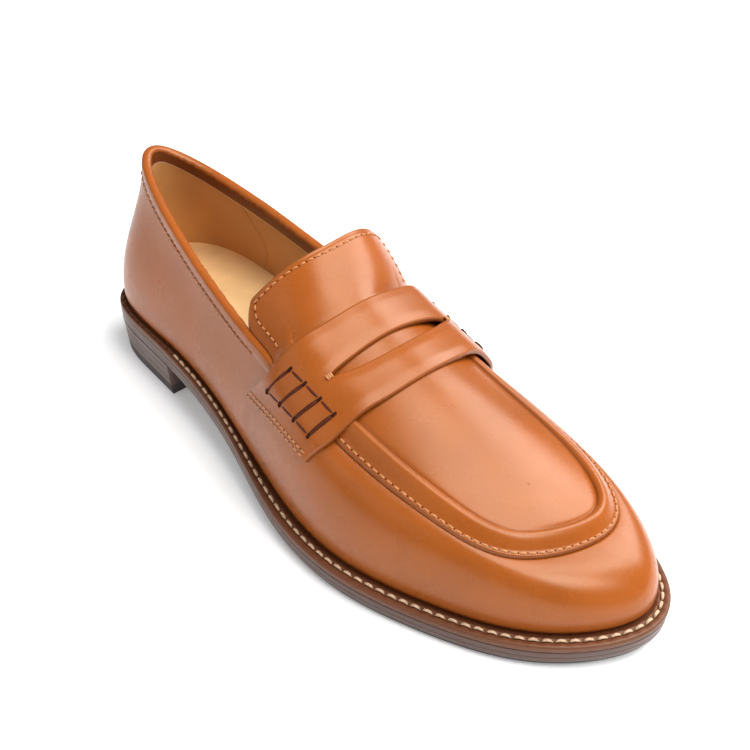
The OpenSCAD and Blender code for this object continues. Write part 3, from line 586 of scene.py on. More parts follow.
def make_leather(name, colour, gloss, grain=0.18, burnish_and_shade=0.7, coat=0.12, edge_and_shade_colour=BURNISH_AND_SHADE):
    """Smooth dyed leather: slow clouds of dye, fine pores, creases too shallow to see as
    shape, and the edge colour where the edge attribute is high: a burnished tone on cut
    edges, and painted shade along the bead's inner crease, in the welt's groove and channel
    and at the foot of the side wall."""
    n = Nodes(name)
    clouds = n.range(n.noise(22.0, 4.0), 0.35, 0.65)
    specks = n.range(n.noise(900.0, 2.0), 0.4, 0.6)
    tone = n.blend(clouds, rgba(colour, 0.88), rgba(colour, 1.08))
    tone = n.blend(n.math("MULTIPLY", specks, 0.10), tone, rgba(colour, 0.6))
    # The edge attribute carries cut edges and painted shade, and both take the edge colour here.
    cut = n.attribute("edge")
    tone = n.blend(n.math("MULTIPLY", cut, burnish_and_shade), tone, rgba(edge_and_shade_colour))
    rough = n.range(n.noise(60.0, 3.0), 0.3, 0.7, gloss - 0.04, gloss + 0.06)
    pores = n.add("TexVoronoi", {"Vector": n.object, "Scale": 1100.0}).outputs["Distance"]
    normal = n.bump(pores, grain, 0.00006)
    normal = n.bump(n.noise(260.0, 3.0, 0.5), grain * 0.3, 0.00016, normal)
    normal = n.bump(n.noise(34.0, 1.0), 0.06, 0.0012, normal)
    return n.finish(Base_Color=tone, Roughness=rough, Normal=normal, Coat_Weight=coat,
                    Coat_Roughness=0.3, Specular_IOR_Level=0.4,
                    Specular_Tint=(1.0, 0.84, 0.62, 1.0))


def make_lining(name, colour, rough=0.62):
    """Undyed lining leather: matt, with soft mottling and a fine even grain."""
    n = Nodes(name)
    mottle = n.range(n.noise(45.0, 5.0), 0.3, 0.7)
    tone = n.blend(mottle, rgba(colour, 0.86), rgba(colour, 1.07))
    # Painted shade: the edge attribute darkens the heel grip's cut edge to a thin line along its
    # seam.
    tone = n.blend(n.math("MULTIPLY", n.attribute("edge"), 0.7), tone, rgba(colour, 0.4))
    normal = n.bump(n.noise(420.0, 4.0, 0.6), 0.22, 0.00018)
    normal = n.bump(n.noise(40.0, 2.0), 0.18, 0.001, normal)
    return n.finish(Base_Color=tone, Roughness=n.range(mottle, 0, 1, rough - 0.05, rough + 0.08),
                    Normal=normal, Sheen_Weight=0.15, Sheen_Roughness=0.5)


def make_sole_edge(name, colour, rough=0.42, coat=0.25):
    """Waxed and inked sole leather: thin layers lie flat, with scuffed lighter fibres."""
    n = Nodes(name)
    layers = n.noise(1.0, 3.0, 0.6, n.stretched((14.0, 14.0, 1500.0)))
    wax = n.range(n.noise(70.0, 4.0), 0.35, 0.7)
    tone = n.blend(n.range(layers, 0.35, 0.65), rgba(colour, 0.72), rgba(colour, 1.25))
    tone = n.blend(n.math("MULTIPLY", wax, 0.35), tone, rgba(colour, 1.7))
    normal = n.bump(layers, 0.25, 0.00025)
    normal = n.bump(n.noise(500.0, 3.0), 0.15, 0.00012, normal)
    return n.finish(Base_Color=tone, Roughness=n.range(wax, 0, 1, rough - 0.06, rough + 0.1),
                    Normal=normal, Coat_Weight=coat, Coat_Roughness=0.35)


def make_thread(name, colour, rough=0.55, sheen=0.2, shine=0.4):
    """Waxed thread: fine slanting plies, darker between them."""
    n = Nodes(name)
    plies = n.noise(1500.0, 2.0, 0.5)
    tone = n.blend(n.range(plies, 0.35, 0.65), rgba(colour, 0.72), rgba(colour, 1.12))
    return n.finish(Base_Color=tone, Roughness=rough, Normal=n.bump(plies, 0.5, 0.0001),
                    Sheen_Weight=sheen, Specular_IOR_Level=shine)


def make_rubber(name, colour):
    """Sole rubber: dark and matt, dusted lighter on its texture's high spots."""
    n = Nodes(name)
    dust = n.range(n.noise(180.0, 5.0), 0.45, 0.75)
    tone = n.blend(n.math("MULTIPLY", dust, 0.5), rgba(colour), rgba(colour, 2.2))
    return n.finish(Base_Color=tone, Roughness=n.range(dust, 0, 1, 0.5, 0.7),
                    Normal=n.bump(n.noise(700.0, 3.0), 0.3, 0.00015))


def make_granular(name, colour, scale, rough=0.85, contrast=0.5):
    """Cork, felt or foam: cells of two tones with a rough surface."""
    n = Nodes(name)
    cells = n.add("TexVoronoi", {"Vector": n.object, "Scale": scale}).outputs["Distance"]
    tone = n.blend(n.math("MULTIPLY", cells, contrast * 2), rgba(colour), rgba(colour, 0.45))
    return n.finish(Base_Color=tone, Roughness=n.range(cells, 0, 1, rough - 0.05, rough + 0.05),
                    Normal=n.bump(cells, 0.4, 0.0004))


def make_weave(name, colour, pitch):
    """Plain cloth: warp and weft as two crossed sine waves of the thread's pitch."""
    n = Nodes(name)
    parts = n.add("SeparateXYZ", {0: n.object})
    waves = [n.math("SINE", n.math("MULTIPLY", parts.outputs[k], 2 * math.pi / pitch))
             for k in (0, 2)]
    weave = n.range(n.math("MULTIPLY", waves[0], waves[1]), -1, 1)
    tone = n.blend(weave, rgba(colour, 0.7), rgba(colour, 1.08))
    return n.finish(Base_Color=tone, Roughness=n.range(weave, 0, 1, 0.9, 0.78),
                    Normal=n.bump(weave, 0.4, 0.0002))


def make_steel(name, colour):
    """Rolled steel: fine lines along its length and a slightly uneven polish."""
    n = Nodes(name)
    lines = n.noise(1.0, 3.0, 0.5, n.stretched((30.0, 1800.0, 1800.0)))
    tone = n.blend(lines, rgba(colour, 0.8), rgba(colour, 1.05))
    return n.finish(Base_Color=tone, Metallic=1.0, Normal=n.bump(lines, 0.12, 0.0001),
                    Roughness=n.range(lines, 0.3, 0.7, 0.25, 0.42))


def make_floor(colour):
    """Matt studio paper that gives off a little light of its own."""
    n = Nodes("studio_paper")
    fibres = n.noise(240.0, 3.0)
    tone = n.blend(fibres, rgba(colour, 0.985), rgba(colour))
    return n.finish(Base_Color=tone, Roughness=0.75, Emission_Color=rgba(colour),
                    Emission_Strength=0.22)


# ---------------------------------------------------------------------------
# Pieces of the upper
# ---------------------------------------------------------------------------
def settle(piece, slot, material, *nodes):
    """Gives a piece its body and its finish, and hides the CAD nodes it stands for. The slot is not
    used.
    """
    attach(piece, "root")
    if nodes:
        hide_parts(*nodes)
    piece.data.materials.clear()
    piece.data.materials.append(material)
    return piece


def with_foot(skin):
    """A skin of the wall with one more row under its lowest, down on the sole."""
    foot = skin[:, :1].copy()
    foot[..., 2] = sole_z(foot[..., 0]) + SOLE
    return np.concatenate([foot, skin], 1)


def side_wall():
    """The side of the upper, all round: the wall surface drawn in at the welt as a tuck whose
    depth falls off with the square of the height, above a foot that goes down to the sole."""
    u = np.linspace(0, STATIONS, 640, endpoint=False)[:, None]
    rows = np.concatenate([np.linspace(0, 0.06, 9)[:-1], np.linspace(0.06, 1, 46)])[None]
    tuck = TUCK_DEPTH * np.maximum(0, 1 - rows / TUCK_ROW) ** 2 + 0 * u
    down = (1 - rows) * (brim(u)[..., 2] - welt_z(feather(u)[..., 0]))
    sewn = SEWN_DEPTH * np.exp(-((down - TOPLINE_STITCH) / 0.7) ** 2) * (1 - front_share(u))
    outer = wall_at(u, rows, tuck + sewn)
    inner = wall_at(u, rows, UPPER + 0.8 * tuck)
    # Painted shade: the wall darkens at its foot, in the groove where it tucks into the welt.
    shade = np.exp(-rows / 0.03) * 0.9 + 0 * u
    shade = np.concatenate([shade[:, :1], shade], 1)
    return add_shell("side_wall", with_foot(outer), with_foot(inner), closed=True, edge=shade)


def back_strip():
    """Strip over the back seam, laid on the wall, with rounded cut edges."""
    half, reach = 0.26, 24.0
    u = half * (2 * clustered(31) - 1)[:, None]
    rows = mix(0.01, 0.975, clustered(60))[None]
    distance = np.minimum((half - np.abs(u)) * reach, 60 * np.minimum(rows, 1 - rows) + 1)
    rise = 0.75 * edge_rise(distance, 0.6)
    cut = np.exp(-distance / 0.35)
    return add_shell("back_strip", wall_at(u, rows, -rise), wall_at(u, rows, 0.1 + 0 * rise),
                     edge=cut)


def brim_frame(u):
    """Top of the wall with its directions outwards and up."""
    top = wall(u, np.ones_like(u))
    out = normal_of(wall, u, np.full_like(u, 0.97))
    up = unit(top - wall(u, np.full_like(u, 0.95)))
    return top, out, up


def topline_binding():
    """Folded binding: a half ellipse over the wall's edge between two flanks that swell by
    half a sine wave, with a slow waver along it."""
    angle = np.radians(np.linspace(0, 180, 17))
    wide, deep = WALL / 2 + BINDING, BINDING_DEPTH
    over = np.stack([-WALL / 2 + wide * np.cos(angle), BINDING_DROP * np.sin(angle)], -1)
    flank = np.linspace(0.12, 1, 9)[:, None]
    swell = 0.12 * np.sin(np.pi * flank)
    inner = np.concatenate([-WALL - BINDING - swell, -BINDING_TURN * flank], 1)
    outer = np.concatenate([mix(0.02, BINDING, smooth((1 - flank) * 1.5)) + swell,
                            -1.2 * deep * flank], 1)
    hem = [(-WALL - 0.7 * BINDING, -BINDING_TURN - 0.25), (-WALL - 0.02, -BINDING_TURN - 0.2),
           (-WALL, -0.3), (-0.1, -0.3), (-0.1, -1.2 * deep)]
    section = np.concatenate([over, inner, hem, outer[::-1]])
    u = np.linspace(-SEAM_START, SEAM_START, 520)
    top, out, up = brim_frame(u)
    wave = 1 + 0.03 * np.sin(u * 31.0) + 0.02 * np.sin(u * 77.0 + 1.0)
    sections = (top[:, None] + (section[:, 0] * wave[:, None])[..., None] * out[:, None]
                + section[None, :, 1, None] * up[:, None])
    return add_sweep("topline_roll", sections[:, ::-1])


def collar_facing():
    """Brown strip inside the topline, ending in a pale cut edge."""
    u = np.linspace(-SEAM_START, SEAM_START, 400)[:, None]
    share = clustered(18)[None]
    down = mix(FACING_DEPTH + 0.3 * np.sin(u * 2.2), 0.6, share)
    distance = down[:, :1] - down
    rise = FACING * edge_rise(distance, 0.2)
    row = row_below(u, down)
    cut = np.exp(-(distance / 0.5) ** 4)
    return add_shell("collar_strip", wall_at(u, row, WALL - 0.05 + 0 * rise),
                     wall_at(u, row, WALL + rise), edge=cut)


def lining_part(name, first, last, depth, thick, bow=0.0):
    """Part of the lining between two stations; bow curves its ends towards the toe."""
    share = clustered(int(40 + 26 * (last - first)))[:, None]
    rows = np.linspace(0, 1, 44)[None]
    lean = bow * np.sin(np.pi * np.clip(rows * 0.95, 0, 1))
    u = mix(first - lean, last + lean, share)
    distance = np.minimum(share, 1 - share) * (last - first) * 30
    rise = thick * (edge_rise(distance, 0.6) if bow else 1) + 0 * rows
    # Painted shade: only the bowed grip gets an edge mark, a dark line along its cut edge.
    cut = np.exp(-distance / 0.5) * (1.0 if bow else 0.0) + 0 * rows
    cut = np.concatenate([cut[:, :1], cut], 1)
    return add_shell(name, with_foot(wall_at(u, rows, depth + 0 * rise)),
                     with_foot(wall_at(u, rows, depth + rise)), edge=cut)


APRON_BAND = np.concatenate([[0, 0.03, 0.1, 0.25, 0.45, 0.7, 0.95, 1.2, 1.45, 1.7, 2.0],
                             np.linspace(2.3, 9.6, 34), [10.4, 11.6, BAND_END]])
LINING_BAND = np.array([WALL + 1.5, WALL + 3, WALL + 6, WALL + 10])
FAN = np.linspace(0, 1, 27)[1:]
TONGUE_ROWS = np.concatenate([np.linspace(0, 0.9, 40)[1:], np.linspace(0.91, 0.985, 10),
                              [0.99, 0.995, 0.998, 1.0]])
STITCH_IN, TONGUE_STITCH_IN = 1.25, 3.0
TONGUE_LENGTH, CUT_REACH, CREASE_SHORT, TONGUE_ROW_START = 27.0, 1.9, 30, 0.22


def apron_sheet(band, top, stations=361):
    """Points of the apron and tongue: columns round the seam with rows in to the centre
    line, then rows across the tongue that start on the apron's own cut edge. top(distance,
    share) is the height above the base surface, with a share of the bead's height: the bead
    sinks under the strap. Returns both grids and their edge distances."""
    u = np.linspace(SEAM_START, SEAM_END, stations)[:, None]
    near = apron(u, band[None], np.zeros((1, 1)))
    from_end = TOE - np.abs(u - TOE) - BEAD_SINK_END
    near[..., 2] += top(band[None], mix(BEAD_SUNK, 1, smooth(from_end / BEAD_SINK_STEP)))
    far = apron(u, np.full((1, len(FAN)), band[-1]), FAN[None])
    far[..., 2] += top(np.full(len(FAN), BAND_END), 0.0)[None]
    front = np.concatenate([near, far], 1)
    front_distance = np.concatenate([np.broadcast_to(band, (stations, len(band))),
                                     np.full((stations, len(FAN)), BAND_END)], 1)
    edge = np.concatenate([front[0], front[-1, -2::-1]])
    w = 2 * (edge[:, 1] - edge[0, 1]) / (edge[-1, 1] - edge[0, 1]) - 1
    s = TONGUE_ROWS[:, None]
    back = tongue(s, w[None])
    side = (1 - np.abs(w))[None] * mix(STRAP_HALF, TONGUE_HALF, s) + band[0]
    end = (1 - s) * TONGUE_LENGTH + band[0] + 0 * w[None]
    distance = np.minimum(side, end)
    fade = (1 - s) ** 3
    plain = top(np.array([BAND_END]), 0.0)
    near_edge = top(np.minimum(distance, CUT_REACH), 0.0)
    height = np.where(distance < CUT_REACH, near_edge, plain)
    back[..., 2] += height
    start = tongue(np.zeros((1, 1)), w[None])
    start[..., 2] += plain
    back += (edge[None] - start) * fade[..., None]
    return front, np.concatenate([edge[None], back]), front_distance, distance


def apron_piece(name, band, top, bottom, cut_shade):
    """Two sheets sewn into one closed shell round the seam, the tongue's sides and end. The
    edge attribute falls off from the cut edge for its burnished tone, with a faint line of
    painted shade in the bead's inner crease."""
    sheets = [apron_sheet(band, lift) for lift in (top, bottom)]
    front, back, front_distance, distance = sheets[0]
    n, m = front.shape[:2]
    rows, across = back.shape[:2]
    count = n * m + rows * across
    points = np.concatenate([part.reshape(-1, 3) for sheet in sheets for part in sheet[:2]])
    faces = []
    for layer in (0, 1):
        faces += grid_faces(n, m, offset=layer * count, flip=layer == 1)
        faces += grid_faces(rows, across, offset=layer * count + n * m, flip=layer == 0)
    at = n * m + np.arange(rows * across).reshape(rows, across)
    rim = np.concatenate([np.arange(n) * m, at[1:, -1], at[-1, -2::-1], at[-2:0:-1, 0]])
    faces += rim_faces(rim, count)
    # Painted shade: a dark line along the bead's inner crease, left off near both ends.
    crease = np.exp(-((front_distance - BEAD_MARGIN - BEAD_WIDTH) / 0.4) ** 2)
    crease[-CREASE_SHORT:], crease[:CREASE_SHORT] = 0, 0
    shade = np.concatenate([(np.exp(-front_distance / 0.35) + 0.6 * crease).ravel(),
                            np.exp(-np.full(across, 9.0)), np.exp(-distance.ravel() / 0.35)])
    shade = np.tile(shade, 2) * cut_shade
    return add_mesh(name, points, faces, merge=True, edge=shade)


def apron_top(bead_height):
    """Height of the leather's top over the apron's base at a distance in from its edge: a
    quarter circle at the cut edge, a sewn groove, then the bead."""
    def top(d, share):
        groove = -0.2 * np.exp(-((d - STITCH_IN) / 0.55) ** 2)
        return UPPER * edge_rise(d, 0.5) + groove + share * bead(d, bead_height)
    return top


def apron_with_tongue(bead_height):
    """Apron and tongue in one: a lip, a stitched groove, the bead over its cord, the plug."""
    def bottom(d, share):
        return 0.75 * share * bead(d, bead_height)
    return apron_piece("apron_and_tongue", APRON_BAND, apron_top(bead_height), bottom, 0.8)


def apron_inside():
    """Lining of the apron and tongue, set in from the seam to clear the wall."""
    def top(d, share):
        return -0.05 + 0 * d

    def bottom(d, share):
        return -0.05 - LINING + 0 * d
    return apron_piece("apron_inside", LINING_BAND, top, bottom, 0.0)


def bead_cord(bead_height):
    """Cord inside the bead: an oval carried round the seam, a little short of both ends."""
    u = np.linspace(SEAM_START + 0.7, SEAM_END - 0.7, 300)
    middle = apron(u, np.full_like(u, BEAD_MARGIN + BEAD_WIDTH / 2), np.zeros_like(u))
    angle = np.linspace(0, 2 * np.pi, 12, endpoint=False)
    wide = BEAD_WIDTH * 0.19 * np.cos(angle)
    high = bead_height * 0.36 * (1 + np.sin(angle))
    across = lifted(inward(brim, u, 0.1), 0 * u)
    sections = middle[:, None] + wide[None, :, None] * across[:, None]
    sections[..., 2] += high[None]
    return add_sweep("bead_cord", sections)


def slot_parts(v, slot_length, slot_width):
    """Half length of the slot in the strap's own number, and its half width at v as a share
    of the strap's breadth: a lens, by one less q squared to the power of three quarters."""
    span = slot_length / 2 / (STRAP_MARKS[-1] * STRAP_HALF)
    q = np.clip(np.abs(v - SLOT_MIDDLE) / span, 0, 1)
    return span, slot_width / 2 / STRAP_BREADTH * (1 - q * q) ** 0.75


LEAD_COLUMNS, SLOT_COLUMNS, CONTROL_SPACING = 90, 121, 11.0


def strap_crown(distance):
    """How much the strap swells, by a smoothstep over five millimetres from its edges."""
    return 0.35 * smooth(distance / 5)


def strap_piece(thickness, slot_length, slot_width):
    """Saddle strap: two bands of rows, behind and before the slot's centre line, which meet
    outside the slot. Its thickness rounds off at every edge, and it crowns a little."""
    span = slot_parts(0.0, slot_length, slot_width)[0]
    lead = SLOT_MIDDLE - span
    ends = lead * clustered(LEAD_COLUMNS, 0.5)
    v = np.concatenate([ends[:-1],
                        SLOT_MIDDLE - span * np.cos(np.linspace(0, np.pi, SLOT_COLUMNS)),
                        STRAP_LAST - ends[::-1][1:]])[:, None]
    half = slot_parts(v, slot_length, slot_width)[1]
    share = clustered(34, 0.1)[None]
    bands = [mix(0.0, SLOT_LINE - half, share), mix(SLOT_LINE + half, 1.0, share)]
    skins = [[], []]
    shades = []
    for c in bands:
        ends = np.minimum(v, STRAP_LAST - v) * CONTROL_SPACING
        away = np.maximum(0, np.abs(v - SLOT_MIDDLE) - span) * CONTROL_SPACING
        hole = np.hypot(away, np.maximum(0, np.abs(c - SLOT_LINE) - half) * STRAP_BREADTH)
        distance = np.minimum(np.minimum(c, 1 - c) * STRAP_BREADTH, np.minimum(ends, hole))
        rise = thickness * edge_rise(distance, 0.9) + strap_crown(distance)
        up = strap_normal(v + 0 * c, c)
        base = strap(v, c)
        skins[0].append(base + rise[..., None] * up)
        skins[1].append(base)
        shades.append(np.exp(-distance / 0.3))
    n, m = skins[0][0].shape[:2]
    size = n * m
    points = np.concatenate([p.reshape(-1, 3) for skin in skins for p in skin])
    faces = []
    for layer in (0, 1):
        for k in (0, 1):
            faces += grid_faces(n, m, offset=(2 * layer + k) * size, flip=layer == 0)
    grid = np.arange(size).reshape(n, m)
    first, second = grid, grid + size
    rim = np.concatenate([first[:, 0], first[-1, 1:], second[-1, 1:], second[-2::-1, -1],
                          second[0, -2::-1], first[0, -2:0:-1]])
    inside = slice(LEAD_COLUMNS - 1, LEAD_COLUMNS - 1 + SLOT_COLUMNS)
    hole = np.concatenate([first[inside, -1], second[inside, 0][-2:0:-1]])
    faces += rim_faces(rim[::-1], 2 * size) + rim_faces(hole, 2 * size)
    shade = np.tile(np.concatenate([s.ravel() for s in shades]), 2)
    return add_mesh("saddle_band", points, faces, merge=True, edge=shade)


# ---------------------------------------------------------------------------
# Pieces of the bottom
# ---------------------------------------------------------------------------
def half_lines(inset, low, high, count, line=edge_line):
    """Outer and inner edge of the sole between two lengths, as matching rows of points,
    closer together where the outline turns round at heel and toe."""
    dense = line(np.linspace(0, STATIONS, 7200, endpoint=False), inset)
    heel, toe = dense[:, 0].argmin(), dense[:, 0].argmax()
    ring = np.roll(dense, -heel, 0)
    toe = (toe - heel) % len(ring)
    outer, inner = ring[:toe + 1], np.concatenate([ring[toe:], ring[:1]])[::-1]
    first = outer[0, 0] if low is None else low
    final = outer[-1, 0] if high is None else high
    t = np.linspace(0, 1, count)
    if low is None and high is None:
        t = (1 - np.cos(np.pi * t)) / 2
    elif low is None:
        t = 1 - np.cos(np.pi / 2 * t)
    elif high is None:
        t = np.sin(np.pi / 2 * t)
    x = mix(first, final, t)
    return [np.stack([x, np.interp(x, side[:, 0], side[:, 1])], -1) for side in (outer, inner)]


def slab(name, levels, low=None, high=None, count=260, across=14):
    """A layer of the sole: edge loops at each level, an (inset, height of x) pair, from the
    bottom up, closed by ribs from side to side below and above."""
    w = np.linspace(0, 1, across)
    loops, caps = [], []
    for k, (inset, height) in enumerate(levels):
        outer, inner = half_lines(inset, low, high, count)
        ribs = mix(outer[:, None], inner[:, None], w[None, :, None])
        ribs = lifted(ribs, height(ribs[..., 0]))
        loops.append(np.concatenate([ribs[:, 0], ribs[-1, 1:-1], ribs[::-1, -1],
                                     ribs[0, -2:0:-1]]))
        if k in (0, len(levels) - 1):
            caps.append(ribs)
    loops = np.stack(loops)
    n, m = loops.shape[:2]
    points = np.concatenate([loops.reshape(-1, 3)] + [c.reshape(-1, 3) for c in caps])
    faces = grid_faces(n, m, False, True)
    for k in (0, 1):
        faces += grid_faces(count, across, offset=n * m + k * count * across, flip=k == 1)
    return add_mesh(name, points, faces, merge=True)


CORNER_SHARE, GROOVE_DEPTH = 0.13, 0.22


def edge_levels(bottom, top, inset_low, inset_high, rounding, bulge=0.0, grooves=()):
    """Levels of a layer's edge: a quarter circle at both corners, half a sine wave of bulge
    between them, and fine grooves where two thicknesses of leather meet. bottom and top are
    functions of x."""
    shares = np.unique(np.concatenate([[0, 0.02, 0.06, CORNER_SHARE], np.linspace(0.2, 0.8, 7),
                                       [0.87, 0.94, 0.98, 1],
                                       *[(g - 0.03, g, g + 0.03) for g in grooves]]))
    levels = []
    for s in shares:
        corner = min(s, 1 - s) / CORNER_SHARE
        inset = mix(inset_low, inset_high, s) - bulge * math.sin(math.pi * s)
        if corner < 1:
            inset += rounding * (1 - math.sqrt(1 - (1 - corner) ** 2))
        inset += sum(GROOVE_DEPTH for g in grooves if abs(s - g) < 0.004)
        levels.append((inset, lambda x, s=s: mix(bottom(x), top(x), s)))
    return levels


def at_level(level):
    """Height as a function of x, a level above the sole's underside."""
    return lambda x: sole_z(x) + level


def welt_line(u, share=CHANNEL, level=0.0):
    """A line on the welt at a share of its reach out from the feather line."""
    f = feather(u)
    q = f - (sole_reach(f[..., 0]) * share)[..., None] * inward(feather, u, 0.1)
    return lifted(q, welt_z(q[..., 0]) + level)


def station_at(x, first, last):
    """Station between two others where the feather line is a length from the heel."""
    u = np.linspace(first, last, 400)
    along = feather(u)[:, 0]
    order = np.argsort(along)
    return float(np.interp(x, along[order], u[order]))


def welt_strip(name, start, end, pitch, count):
    """Welt: a section carried round the feather line, as points at a share of the reach and
    a level. Its top has a groove against the upper and a sunk stitch channel, whose floor
    follows a cosine of the stitches' own pitch where pressed is one."""
    run, t = arc_table(welt_line, start, end, 2400)
    spacing = run[-1] / int(run[-1] / pitch)
    u = np.linspace(start, end, count)
    distance = np.interp(u, t, run)
    share = np.array([-0.5, -0.2, -0.05, 0.08, 0.18, 0.25, 0.31, 0.38, 0.47, 0.56, 0.63, 0.70,
                      0.80, 0.90, 0.96, 1.0, 1.0, 0.97, 0.9, -0.5])
    level = np.array([-0.6, -0.8, -0.9, -0.45, -0.08, 0, -0.12, -0.42, -0.52, -0.42, -0.12, 0,
                      0, -0.06, -0.3, -0.8, -2.2, -2.8, -3.0, -3.0])
    pressed = np.array([0, 0, 0, 0, .1, .3, .7, 1, 1, 1, .7, .4, .2, 0, 0, 0, 0, 0, 0, 0])
    f = feather(u)
    out = -inward(feather, u, 0.1)
    reach = sole_reach(f[:, 0])
    plan = f[:, None] + (reach[:, None] * share)[..., None] * out[:, None]
    wheel = -WHEEL_DEPTH * np.cos(2 * np.pi * distance / spacing)
    z = welt_z(plan[..., 0]) + level + pressed * wheel[:, None]
    # Painted shade: the edge attribute darkens the groove against the upper and the stitch channel
    # by their depth below the welt's top.
    tone = np.broadcast_to(np.clip(-level[None] - 0.1, 0, 1) * (share[None] < 0.75), z.shape)
    return add_sweep(name, lifted(plan, z)[:, ::-1], edge=tone[:, ::-1])


def inside_line(u, inset):
    """The lining's face at the height of the sock's rim, found up the wall's rows."""
    rows = np.linspace(0, 0.5, 40)[None]
    grid = wall_at(u[:, None], rows, WALL + inset)
    rim = sole_z(grid[..., 0]) + INSOLE_TOP + SOCK + pad_height(grid[..., 0], 1.0)
    above = grid[..., 2] - rim
    k = np.clip(np.argmax(above > 0, 1), 1, None)
    pick = np.arange(len(u))
    low, high = above[pick, k - 1], above[pick, k]
    share = (low / (low - high))[:, None]
    return mix(grid[pick, k - 1, :2], grid[pick, k, :2], share)


def inside_sheet(name, bottom, top, inset, high=None):
    """A sheet that covers the insole up to the lining: ribs from side to side, closer at
    their ends, between two heights. Both heights are functions of x and of the share out
    from the middle."""
    count, across = 200, 36
    ease = np.sin(np.pi / 2 * np.linspace(-1, 1, across))
    outer, inner = half_lines(inset, None, high, count, inside_line)
    ribs = mix(outer[:, None], inner[:, None], ((1 + ease) / 2)[None, :, None])
    x, out = ribs[..., 0], np.broadcast_to(np.abs(ease), ribs.shape[:2])
    return add_shell(name, lifted(ribs, top(x, out)), lifted(ribs, bottom(x, out)),
                     edge=0 * x)


def pad_height(x, out):
    """The pad's thickness: a smoothstep down at its front, thinner towards its rim."""
    return PAD * smooth((PAD_END - x) / PAD_RAMP) * (1 - PAD_THINNING * out ** 6)


def sock_bottom(x, out):
    """Underside of the sock: the pad's top, pressed in to a parabola's dish at the heel."""
    dish = PAD_DISH * (1 - out ** 2) * smooth((90 - x) / 60)
    return sole_z(x) + INSOLE_TOP + pad_height(x, out) - dish


def sock_top(x, out):
    """Top of the sock, which turns up against the lining."""
    return sock_bottom(x, out) + SOCK + SOCK_LIP * out ** 12


def heel_pad():
    """Foam pad under the sock, bedded a little into the insole."""
    return inside_sheet("pad", lambda x, out: sole_z(x) + INSOLE_TOP - PAD_BED, sock_bottom,
                        1.2, PAD_END - PAD_SHORT)


def sole_slab(name, bottom, top, inset_low, inset_high, rounding, bulge, grooves=(), **cut):
    """A layer of the sole between two levels over its underside."""
    levels = edge_levels(at_level(bottom), at_level(top), inset_low, inset_high, rounding,
                         bulge, grooves)
    return slab(name, levels, **cut)


def heel_layer(name, low, high, inset_low, inset_high):
    """One lift of the heel, flat above and below but for the last, which meets the sole."""
    def limit(level):
        return lambda x: np.minimum(level, sole_z(x) + RUBBER)
    levels = edge_levels(limit(low), limit(high), inset_low, inset_high, 0.16, 0.0)
    return slab(name, levels, high=HEEL_LENGTH, count=120)


# ---------------------------------------------------------------------------
# Stitching and lacing
# ---------------------------------------------------------------------------
def sheet_at(grid, rows, columns, s, w):
    """Point of a grid of points at any two numbers, by linear steps both ways."""
    i = np.clip(np.searchsorted(rows, s) - 1, 0, len(rows) - 2)
    j = np.clip(np.searchsorted(columns, w) - 1, 0, len(columns) - 2)
    f = ((s - rows[i]) / (rows[i + 1] - rows[i]))[..., None]
    g = ((w - columns[j]) / (columns[j + 1] - columns[j]))[..., None]
    return mix(mix(grid[i, j], grid[i + 1, j], f), mix(grid[i, j + 1], grid[i + 1, j + 1], f), g)


def tongue_numbers(x, y):
    """The tongue's two numbers at a plan point, by repeated substitution."""
    start = brim(np.array(SEAM_END))[1] - APRON_MIDDLE
    w = (y - APRON_MIDDLE) / TONGUE_HALF
    for _ in range(12):
        back = TONGUE_BACK - TONGUE_SWEEP * w * w + TONGUE_SKEW * w
        s = np.clip((x - SPINE_START) / (back - SPINE_START), 0, 1)
        half = mix(start, TONGUE_HALF, smooth(s * TONGUE_WIDENING))
        w = (y - APRON_MIDDLE - TONGUE_SHIFT * s) / half / tongue_corner(s)
    return s, w


def tongue_row(pitch):
    """A row of stitches inside the tongue's edge: the outline in plan, moved in along its
    normal, then lifted on to the leather."""
    sheet = apron_sheet(APRON_BAND, apron_top(0.0))[1]
    rows = np.concatenate([[0], TONGUE_ROWS])
    y = sheet[0, :, 1]
    columns = 2 * (y - y[0]) / (y[-1] - y[0]) - 1
    flank = np.linspace(TONGUE_ROW_START, 1, 200)
    s = np.concatenate([flank, np.ones(198), flank[::-1]])
    w = np.concatenate([-np.ones(200), np.linspace(-1, 1, 200)[1:-1], np.ones(200)])
    plan = tongue(s, w)[:, :2]
    run = run_along(plan)
    even = np.linspace(0, run[-1], 400)
    plan = np.stack([np.interp(even, run, plan[:, k]) for k in (0, 1)], -1)
    along = unit(np.gradient(plan, axis=0))
    plan = plan + TONGUE_STITCH_IN * np.stack([along[:, 1], -along[:, 0]], -1)
    s, w = tongue_numbers(plan[:, 0], plan[:, 1])
    line = sheet_at(sheet, rows, columns, s, np.clip(w, -1, 1))
    aside = sheet_at(sheet, rows, columns, s, np.clip(w, -1, 1) * 0.96) - line
    ahead = np.gradient(line, axis=0)
    ups = unit(np.cross(ahead, aside))
    ups *= np.sign(ups[:, 2:])
    number = np.linspace(0, 1, 400)

    def path(t):
        return np.stack([np.interp(t, number, line[:, k]) for k in range(3)], -1)

    def up(t):
        return np.stack([np.interp(t, number, ups[:, k]) for k in range(3)], -1)
    return stitch_row(path, up, 0, 1, pitch, share=0.66), path, up


